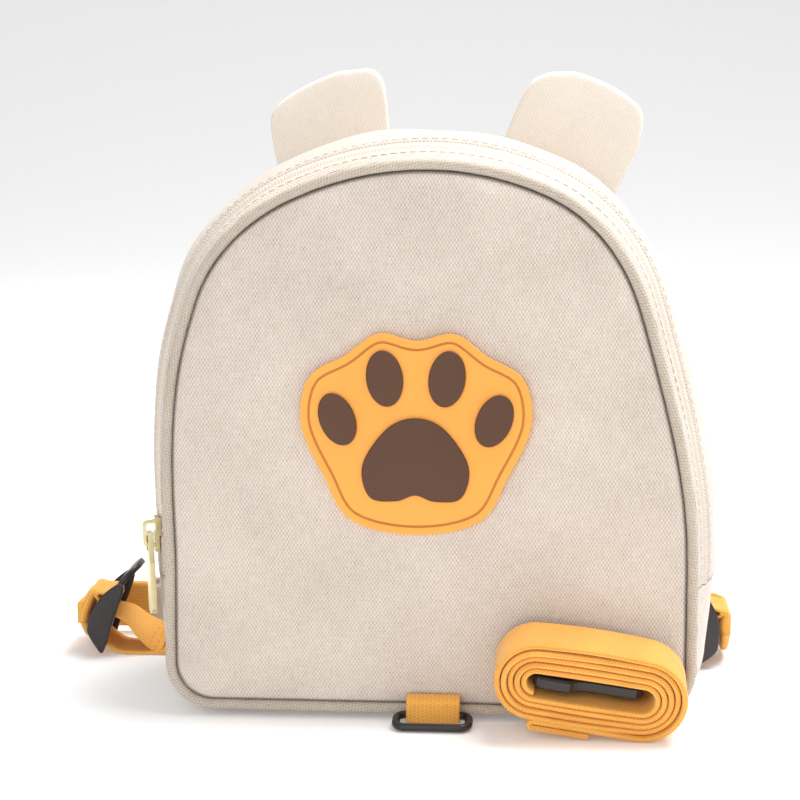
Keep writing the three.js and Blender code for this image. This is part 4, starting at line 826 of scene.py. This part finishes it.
def swept(name, spine, across, thick, count, widths=None, flats=7, rounds=4, profile=None, caps=True):
    """A band along spine, with across giving its width's direction and size at each point, all in mm."""
    spine, across = np.asarray(spine, float), np.asarray(across, float)
    lengths = np.concatenate([[0], np.cumsum(np.linalg.norm(np.diff(spine, axis=0), axis=1))])
    wide = float(np.linalg.norm(across, axis=1).max())
    section = band_profile(wide, thick, flats, rounds) if profile is None else profile(wide, thick)
    girth = np.concatenate([[0], np.cumsum(np.linalg.norm(np.diff(section, axis=0), axis=1))])
    columns = len(section) - 1

    def at(values, length):
        return np.stack([np.interp(length, lengths, column) for column in values.T], 1)

    def frame_at(length):
        ahead, behind = np.minimum(length + 0.35, lengths[-1]), np.maximum(length - 0.35, 0)
        along = at(spine, ahead) - at(spine, behind)
        along /= np.linalg.norm(along, axis=1, keepdims=True)
        side = at(across, length)
        size = np.linalg.norm(side, axis=1, keepdims=True)
        side = side / size
        side = side - along * np.sum(side * along, 1, keepdims=True)
        side /= np.linalg.norm(side, axis=1, keepdims=True)
        return at(spine, length), along, side, np.cross(along, side), size

    def place(s, t):
        middle, _, side, face, size = frame_at(s * lengths[-1])
        k = np.rint(t * columns).astype(int)
        a, b = section[k, 0:1] * size / wide, section[k, 1:2]
        return tuple((middle + side * a + face * b).T)

    def texture(s, t):
        return s * lengths[-1], girth[np.rint(t * columns).astype(int)]

    piece = laid_cloth(name, count, columns, place, texture, joined=True)
    bpy.ops.object.mode_set(mode="EDIT")
    bpy.ops.mesh.select_mode(type="EDGE")
    bpy.ops.mesh.select_all(action="DESELECT")
    bpy.ops.mesh.select_non_manifold()
    bpy.ops.mesh.edge_face_add()
    bpy.ops.mesh.select_all(action="SELECT")
    bpy.ops.mesh.normals_make_consistent(inside=False)
    bpy.ops.object.mode_set(mode="OBJECT")
    return piece, float(lengths[-1]), frame_at


def arc(cx, cy, radius, start, end, steps=16):
    turn = np.radians(np.linspace(start, end, steps + 1))
    return np.stack([cx + radius * np.cos(turn), cy + radius * np.sin(turn)], 1)


# Ring: a black coated wire bent to a rounded oblong, hanging in a folded loop of webbing from the bottom seam.
black, black_surface, black_shade = start_material("black_plastic")
black_where = black_shade.node("ShaderNodeTexCoord", {}, {}, 3)
black_grain = black_shade.noise(black_where, 1800, 2)
black_wear = black_shade.noise(black_where, 110, 3)
set_surface(black_shade, black_surface, {
    "Base Color": black_shade.blend(black_wear, (0.010, 0.008, 0.008, 1), (0.028, 0.022, 0.019, 1)),
    "Roughness": black_shade.math("MULTIPLY_ADD", black_wear, 0.25, 0.22),
    "Specular IOR Level": 0.5,
    "Normal": black_shade.node("ShaderNodeBump", {}, {"Strength": 0.25, "Distance": 0.00005, "Height": black_grain}),
})
RING_X, RING_Y, RING_Z, RING_WIDE, RING_REACH, RING_CORNER, RING_WIRE = 2.0, -45.3, 3.3, 27.0, 10.5, 3.4, 1.5
bpy.ops.object.select_all(action="DESELECT")
bpy.ops.mesh.primitive_torus_add(major_radius=RING_CORNER * MM, minor_radius=RING_WIRE * MM, major_segments=56, minor_segments=20)
ring = bpy.context.object
ring.name = ring.data.name = "oblong_ring"
turned = Matrix.Rotation(math.radians(180 / 56), 4, "Z")
for vertex in ring.data.vertices:
    vertex.co = turned @ vertex.co
    vertex.co.x += math.copysign((RING_WIDE / 2 - RING_CORNER) * MM, vertex.co.x)
    vertex.co.y += math.copysign((RING_REACH / 2 - RING_CORNER) * MM, vertex.co.y) - RING_REACH / 2 * MM
ring.data.transform(Matrix.Translation((RING_X * MM, RING_Y * MM, RING_Z * MM)) @ Matrix.Rotation(math.asin(1 / 7), 4, "X"))
finished(ring, black, "plastic", "ring", body="ring")

LOOP_RADIUS, LOOP_TOP = RING_WIRE + 0.3 + 0.6, 9.5
loop_front, loop_back = RING_Y - LOOP_RADIUS, RING_Y + LOOP_RADIUS
loop_line = np.concatenate([
    [(loop_back - 0.6, LOOP_TOP + 1), (loop_front + 0.4, LOOP_TOP - 0.6), (loop_front, LOOP_TOP - 2.6)],
    arc(RING_Y, RING_Z, LOOP_RADIUS, 180, 360),
    [(loop_back, LOOP_TOP - 2.2)],
])
loop_line = curved(loop_line, 90)
loop_spine = np.stack([np.full(90, RING_X), loop_line[:, 0], loop_line[:, 1]], 1)
loop, loop_length, _ = swept("ring_webbing", loop_spine, np.tile([20.0, 0, 0], (90, 1)), 1.2, 60)
finished(loop, orange_webbing, "webbing", "ring_loop")
loop_length * MM

# Leash: a long strap of the webbing, wound flat round its black snap hook and laid on its edge before the bag,
# with its last few centimetres folded back under the roll.
LEASH_WIDE, LEASH_THICK, LEASH_PITCH, LEASH_TURNS, LEASH_SPACING, LEASH_CORE = 20.0, 2.1, 2.45, 5, 39.0, 6.0


def leash_line():
    path, half, core = [], LEASH_SPACING / 2, (LEASH_CORE + LEASH_THICK) / 2
    quarters = 4 * LEASH_TURNS - 1
    for quarter in range(quarters):
        kind = quarter % 4
        share = np.arange(20) / 20
        radius = core + LEASH_PITCH * (quarter + share) / 4
        bow = 0.9 * np.sin(share * math.pi) * (radius / core - 1) * 0.3
        turn = np.radians(-90 + 180 * share)
        path.append(np.stack((
            (half + radius * np.cos(turn), radius * np.sin(turn)),
            (half - 2 * half * share, radius + bow),
            (-half - radius * np.cos(turn), -radius * np.sin(turn)),
            (-half + 2 * half * share, -radius - bow),
        )[kind], 1))
    low = -core - LEASH_PITCH * quarters / 4
    fold = LEASH_PITCH / 2
    path += [[(-half, low), (18, low)], arc(18, low - fold, fold, 60, -90, 8), [(-3, low - 2 * fold)]]
    return np.concatenate(path) * [-1, 1]


leash_flat = evenly(leash_line(), 1400)
leash_turned = Matrix.Translation((59.5, -56.0, 21.3)) @ Matrix.Rotation(math.radians(10), 4, "X") @ Matrix.Rotation(math.radians(9), 4, "Y")
leash_axes = np.array(leash_turned.to_3x3())
leash_at = np.array(leash_turned.translation)
waver = 0.35 * np.sin(np.linspace(0, 41, 1400)) + 0.3 * np.sin(np.linspace(2, 19, 1400))
leash_spine = np.stack([leash_flat[:, 0], waver, leash_flat[:, 1]], 1) @ leash_axes.T + leash_at
leash_across = np.tile(leash_axes @ np.array([0, LEASH_WIDE, 0]), (1400, 1))
leash, leash_length, _ = swept("leash_roll", leash_spine, leash_across, LEASH_THICK, 1400, flats=9, rounds=6)
finished(leash, orange_webbing, "webbing", "leash_webbing")
leash_length * MM

# Shoulder straps: canvas over foam, edged with a bound seam, sewn flat to the back panel at the top. Each swings
# out behind the bag and turns on its edge at the bottom, where the webbing of its ladder lock is sewn in.
STRAP_WIDE, STRAP_END_WIDE, STRAP_THICK, STRAP_BOW, STRAP_TURN = 38.0, 24.0, 6.0, 34.0, 22.0
STRAP_BACK, STUB_Z = BACK_SEAM + 31.5, 12.4
STRAP_ROWS = ((0.7, 1, 0.26, 1, 5), (0.665, 0.96, 0.35, 1, 11), (0.61, 0.88, 0.46, 1, 15), (0.533, 0.765, 0.58, 1, 17),
              (0.42, 0.53, 0.738, 1, 19))
STRAP_TOP = ((0.325, 0.866, 0.95, 19, 2.5), (0.29, 0.91, 0.9, 15, 0), (0.275, 0.935, 0.9, 12, 0))
STRAPS = {"left": (-1, 27.5), "right": (1, 2.0)}


def strap_profile(wide, thick):
    """A padded section: thick in its middle, with a thin bound edge on both sides."""
    a = np.concatenate([np.linspace(wide / 2, wide / 2 - 4.2, 5), np.linspace(wide / 2 - 5.5, 5.5 - wide / 2, 13),
                        np.linspace(4.2 - wide / 2, -wide / 2, 5)])
    edge = wide / 2 - np.abs(a)
    bound = 1.25 * np.sqrt(np.clip(1 - ((edge - 1.6) / 1.6) ** 2, 0, 1)) * (edge < 3.2)
    cushion = 0.7 + (thick / 2 - 0.7) * np.sqrt(np.clip(1 - (a / (wide / 2 - 3.0)) ** 4, 0, 1))
    half = np.where(edge < 3.3, np.maximum(bound, 0.25), np.where(edge < 4.3, 0.6, cushion))
    whole = np.concatenate([np.stack([a, half], 1), np.stack([a[::-1], -half[::-1]], 1)])
    return np.concatenate([whole, whole[:1]])


def back_face(x, z):
    """The outer face of the back panel."""
    best = 0
    for s in (x,):
        reach = np.hypot(s / HALF_WIDTH, (z - MIDDLE_Z) / (TALL * 0.5))
        best = BACK_SEAM + 1.8 + 4 * (1 - np.minimum(reach, 1) ** 2.3) ** 0.52
    return best


for side, (sign, strap_out) in STRAPS.items():
    end = HALF_WIDTH + strap_out
    rows = [(end, STRAP_BACK, STUB_Z, STRAP_END_WIDE, 90), (end - 3, STRAP_BACK, STUB_Z, STRAP_END_WIDE, 90)]
    for share in (0, 0.25, 0.5, 0.75, 1):
        turn = share * math.pi / 2
        rows.append((
            0.718 * HALF_WIDTH + STRAP_TURN * (1 - math.sin(turn)),
            STRAP_BACK + (BACK_SEAM + STRAP_BOW - STRAP_BACK) * share,
            STUB_Z + STRAP_TURN * (1 - math.cos(turn)),
            STRAP_END_WIDE + (0.9 * STRAP_WIDE - STRAP_END_WIDE) * share,
            90 * (1 - share),
        ))
    rows += [(x * HALF_WIDTH, BACK_SEAM + bow * STRAP_BOW, BASE_LINE + z * TALL, w * STRAP_WIDE, turn)
             for x, bow, z, w, turn in STRAP_ROWS]
    for x, z, w, turn, lift in STRAP_TOP:
        rows.append((x * HALF_WIDTH, 46.4 + STRAP_THICK / 2 + lift - 1.2, BASE_LINE + z * TALL, w * STRAP_WIDE, turn))
    line = curved(rows, 260)
    spine = line[:, :3] * [sign, 1, 1]
    turn = np.radians(line[:, 4])
    across = np.stack([sign * np.cos(turn), 0 * turn, np.sin(turn)], 1) * line[:, 3:4]
    strap, strap_length, strap_frame = swept(f"strap_{side}", spine, across, STRAP_THICK, 170, profile=strap_profile)
    modified(strap, "SUBSURF", levels=1, render_levels=1)
    at = np.arange(5, strap_length - 3, THREAD_STEP)
    middle, along, across_strap, face, size = strap_frame(at)
    sides = [(middle + across_strap * edge * (size / 2 - 3.7 * size / STRAP_WIDE) + face * up * 0.95, along, face * up)
             for edge in (-1, 1) for up in (-1, 1)]
    sewn(f"strap_stitches_{side}", [spot for rows in sides for spot in zip(*rows)], cream_thread, "canvas")
    finished(strap, canvas, "canvas", f"shoulder_strap_{side}")

# Ladder locks: black moulded buckles with three bars between two rails. The adjusting webbing comes from the bag's
# bottom corner, round the middle bar and down to its hem, and a doubled stub joins the lock to the strap.
LOCKS = {
    "left": (-1, 43.0, 15.8, 25, 7.7, ((-0.27, 0.03), (-0.44, -0.05), (-0.65, -0.24), (-0.865, -0.39), (-1, -0.44))),
    "right": (1, 12.1, 13.9, 4, 6.7, ((-0.2, 0.11), (-0.25, -0.02), (-0.26, -0.17), (-0.262, -0.29))),
}
LOCK_WIDE, RAIL_WIDE, BAR, BAR_STEP = 28.4, 3.4, 1.6, 8.0
LOCK_PLATE = (
    (-0.19, 2.17), (0.15, 1.62), (0.37, 1.06), (0.46, 0.37), (0.42, -0.25), (0.3, -0.78), (-0.08, -1.14),
    (-0.53, -1.42), (-0.85, -1.6), (-0.93, -1.5), (-0.9, -1), (-0.8, -0.25), (-0.71, 0.5), (-0.65, 1.25),
    (-0.57, 1.87), (-0.45, 2.17),
)
LOCK_TAB = ((-0.2, 1.53), (-0.28, 2.12), (-0.45, 2.7), (-0.69, 3.25))
STRAP_WEBBING_WIDE, WEBBING_THICK, WEBBING_Y, TAIL = 20.0, 1.5, 46.0, 26.0
WRAP = BAR + 0.3 + WEBBING_THICK / 2
hem_spots = []
for side, (sign, lock_out, lock_z, lean, fold_out, tail) in LOCKS.items():
    c, s_ = math.cos(math.radians(lean)), math.sin(math.radians(lean))

    def lock_spot(rows):
        rows = np.asarray(rows, float)
        return np.stack([HALF_WIDTH + lock_out + rows[:, 0] * c - rows[:, 1] * s_, lock_z + rows[:, 0] * s_ + rows[:, 1] * c], 1)

    def upright(rows, count, y=WEBBING_Y):
        line = curved(rows, count)
        return np.stack([sign * line[:, 0], np.full(count, y), line[:, 1]], 1)

    parts = []
    plate = lock_spot(curved(np.array(LOCK_PLATE) * BAR_STEP, 72, True)[:-1])
    for y in (WEBBING_Y - LOCK_WIDE / 2, WEBBING_Y + LOCK_WIDE / 2 - RAIL_WIDE):
        bpy.ops.object.select_all(action="DESELECT")
        bpy.ops.mesh.primitive_circle_add(vertices=len(plate), fill_type="NGON", radius=0.01)
        rail = bpy.context.object
        for vertex, (x, z) in zip(rail.data.vertices, plate):
            vertex.co = (sign * x * MM, y * MM, z * MM)
        bpy.ops.object.mode_set(mode="EDIT")
        bpy.ops.mesh.select_all(action="SELECT")
        bpy.ops.mesh.extrude_region_move(TRANSFORM_OT_translate={"value": (0, RAIL_WIDE * MM, 0)})
        close_back(rail, 0)
        parts.append(modified(rail, "BEVEL", width=0.8 * MM, segments=4, limit_method="ANGLE", angle_limit=0.9))
    for step in ((0.075, -0.78), (0, 0), (0, 1)):
        x, z = lock_spot([(step[0] * BAR_STEP, step[1] * BAR_STEP)])[0]
        bpy.ops.object.select_all(action="DESELECT")
        bpy.ops.mesh.primitive_cylinder_add(vertices=20, radius=BAR * MM, depth=(LOCK_WIDE - RAIL_WIDE) * MM,
                                            location=(sign * x * MM, WEBBING_Y * MM, z * MM), rotation=(math.pi / 2, 0, 0))
        bar = bpy.context.object
        bpy.ops.object.transform_apply()
        parts.append(bar)
    rows = lock_spot(np.array(LOCK_TAB) * BAR_STEP)
    tab_wide = np.stack([np.zeros(40), 25 * np.sqrt(1 - 0.85 * np.linspace(0, 1, 40) ** 3), np.zeros(40)], 1)
    tab, _, _ = swept("tab", upright(rows, 40), tab_wide, 2.4, 30, flats=9, rounds=6)
    parts.append(tab)
    bpy.ops.object.select_all(action="DESELECT")
    for part in parts:
        part.select_set(True)
    bpy.context.view_layer.objects.active = tab
    bpy.ops.object.join()
    lock = bpy.context.object
    lock.name = lock.data.name = f"lock_{side}"
    finished(lock, black, "plastic", f"ladder_lock_{side}")
    bpy.ops.object.select_all(action="DESELECT")
    lock.select_set(True)
    bpy.ops.object.shade_smooth_by_angle(angle=0.7)

    wrap = lock_spot(arc(0, 0, WRAP, -110, 110))
    lead = lock_spot([(-WRAP, 1 - BAR_STEP)])[0]
    sewn_x, _, sewn_z = gusset(np.array([81.5 + 0.35 * 25.13]), np.array([76.0]), 1.05)
    sewn_x, sewn_z = float(sewn_x[0]), float(sewn_z[0])
    low = WEBBING_THICK / 2 + 0.3
    run = [(sewn_x + (lead[0] - sewn_x) * share,
            low + max(0, 1 - share / 0.2) ** 2 * (sewn_z - low) + max(0, (share - 0.78) / 0.22) ** 2 * (lead[1] - low))
           for share in (0, 0.09, 0.2, 0.5, 0.78, 0.9)]
    hem = [(HALF_WIDTH + lock_out + x * TAIL, lock_z + z * TAIL) for x, z in tail]
    line = upright([*run, lead, *wrap, *hem], 300)
    twist = math.radians(24) * smooth(np.linspace(0, 1, 300), 1 - TAIL / 95, 1) * (sign < 0)
    flat = np.stack([0 * twist, np.cos(twist), np.sin(twist)], 1) * STRAP_WEBBING_WIDE
    webbing, webbing_length, webbing_frame = swept(f"webbing_{side}", line, flat, WEBBING_THICK, 260)
    finished(webbing, orange_webbing, "webbing", f"strap_webbing_{side}")
    webbing_length * MM

    rows = np.repeat(webbing_length - np.array([2.6, 5.4]), 5)
    middle, along, across_web, face, _ = webbing_frame(rows)
    spread = np.tile(np.linspace(-7.6, 7.6, 5), 2)[:, None]
    for up in (-1, 1):
        hem_spots += list(zip(middle + across_web * spread + face * up * 0.8, across_web, face * up))

    fold = HALF_WIDTH + lock_out + fold_out
    strap_end = HALF_WIDTH + STRAPS[side][1] + 0.3
    thick = 2 * WEBBING_THICK + 0.3
    eye = np.concatenate([lock_spot([(5, BAR_STEP + 0.9)]), lock_spot(arc(0, BAR_STEP, WRAP, 50, 310)), lock_spot([(5, BAR_STEP - 0.9)])])
    eye_band, eye_length, _ = swept("eye", upright(eye, 70), np.tile([0, STRAP_WEBBING_WIDE, 0], (70, 1)), WEBBING_THICK, 60)
    down = np.concatenate([lock_spot([(4.3, BAR_STEP), (7, BAR_STEP - 0.4)]),
                           [(fold - 1.2, STUB_Z + 5.5), (fold - 0.6, STUB_Z + 1.5)]])
    tongue, tongue_length, _ = swept("tongue", upright(down, 60), np.tile([0, STRAP_WEBBING_WIDE, 0], (60, 1)), thick, 40)
    rear = STRAP_BACK
    round_ = arc(fold - 10, rear - 10, 10, 0, 90)
    back_run = curved([(fold, WEBBING_Y - STRAP_WEBBING_WIDE / 2 + 0.4), *round_, (strap_end, rear)], 100)
    folded = 1 - smooth(np.linspace(0, 1, 100), 0, 0.35)
    line = np.stack([sign * back_run[:, 0], back_run[:, 1], STUB_Z + 5.2 * folded], 1)
    deep = np.stack([0 * folded, 0 * folded, STRAP_WEBBING_WIDE - 10.4 * folded], 1)
    stub, stub_length, _ = swept("stub", line, deep, thick, 80)
    bpy.ops.object.select_all(action="DESELECT")
    for part in (eye_band, tongue, stub):
        part.select_set(True)
    bpy.context.view_layer.objects.active = stub
    bpy.ops.object.join()
    stub.name = stub.data.name = f"stub_{side}"
    finished(stub, orange_webbing, "webbing", f"lock_stub_{side}")
    (eye_length + tongue_length + stub_length) * MM

orange_thread = thread("orange_thread", ((0.60, 0.24, 0.04), (0.92, 0.44, 0.10)))
sewn("hem_stitches", hem_spots, orange_thread, "webbing")

# The zip's slider and pull are cast brass with a pale satin finish, and the hook in the leash's core is black.
brass, brass_surface, brass_shade = start_material("pale_brass")
brass_where = brass_shade.node("ShaderNodeTexCoord", {}, {}, 3)
brass_wear = brass_shade.noise(brass_where, 300, 3)
set_surface(brass_shade, brass_surface, {
    "Base Color": brass_shade.blend(brass_wear, (0.70, 0.60, 0.33, 1), (0.86, 0.78, 0.50, 1)),
    "Metallic": 1.0,
    "Roughness": brass_shade.math("MULTIPLY_ADD", brass_wear, 0.25, 0.22),
    "Normal": brass_shade.node("ShaderNodeBump", {}, {"Strength": 0.2, "Distance": 0.00005, "Height": brass_wear}),
})
for node, material in (("zip_slider", brass), ("zip_pull", brass), ("leash_hook", black)):
    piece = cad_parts[node]
    piece.data.materials.clear()
    piece.data.materials.append(material)
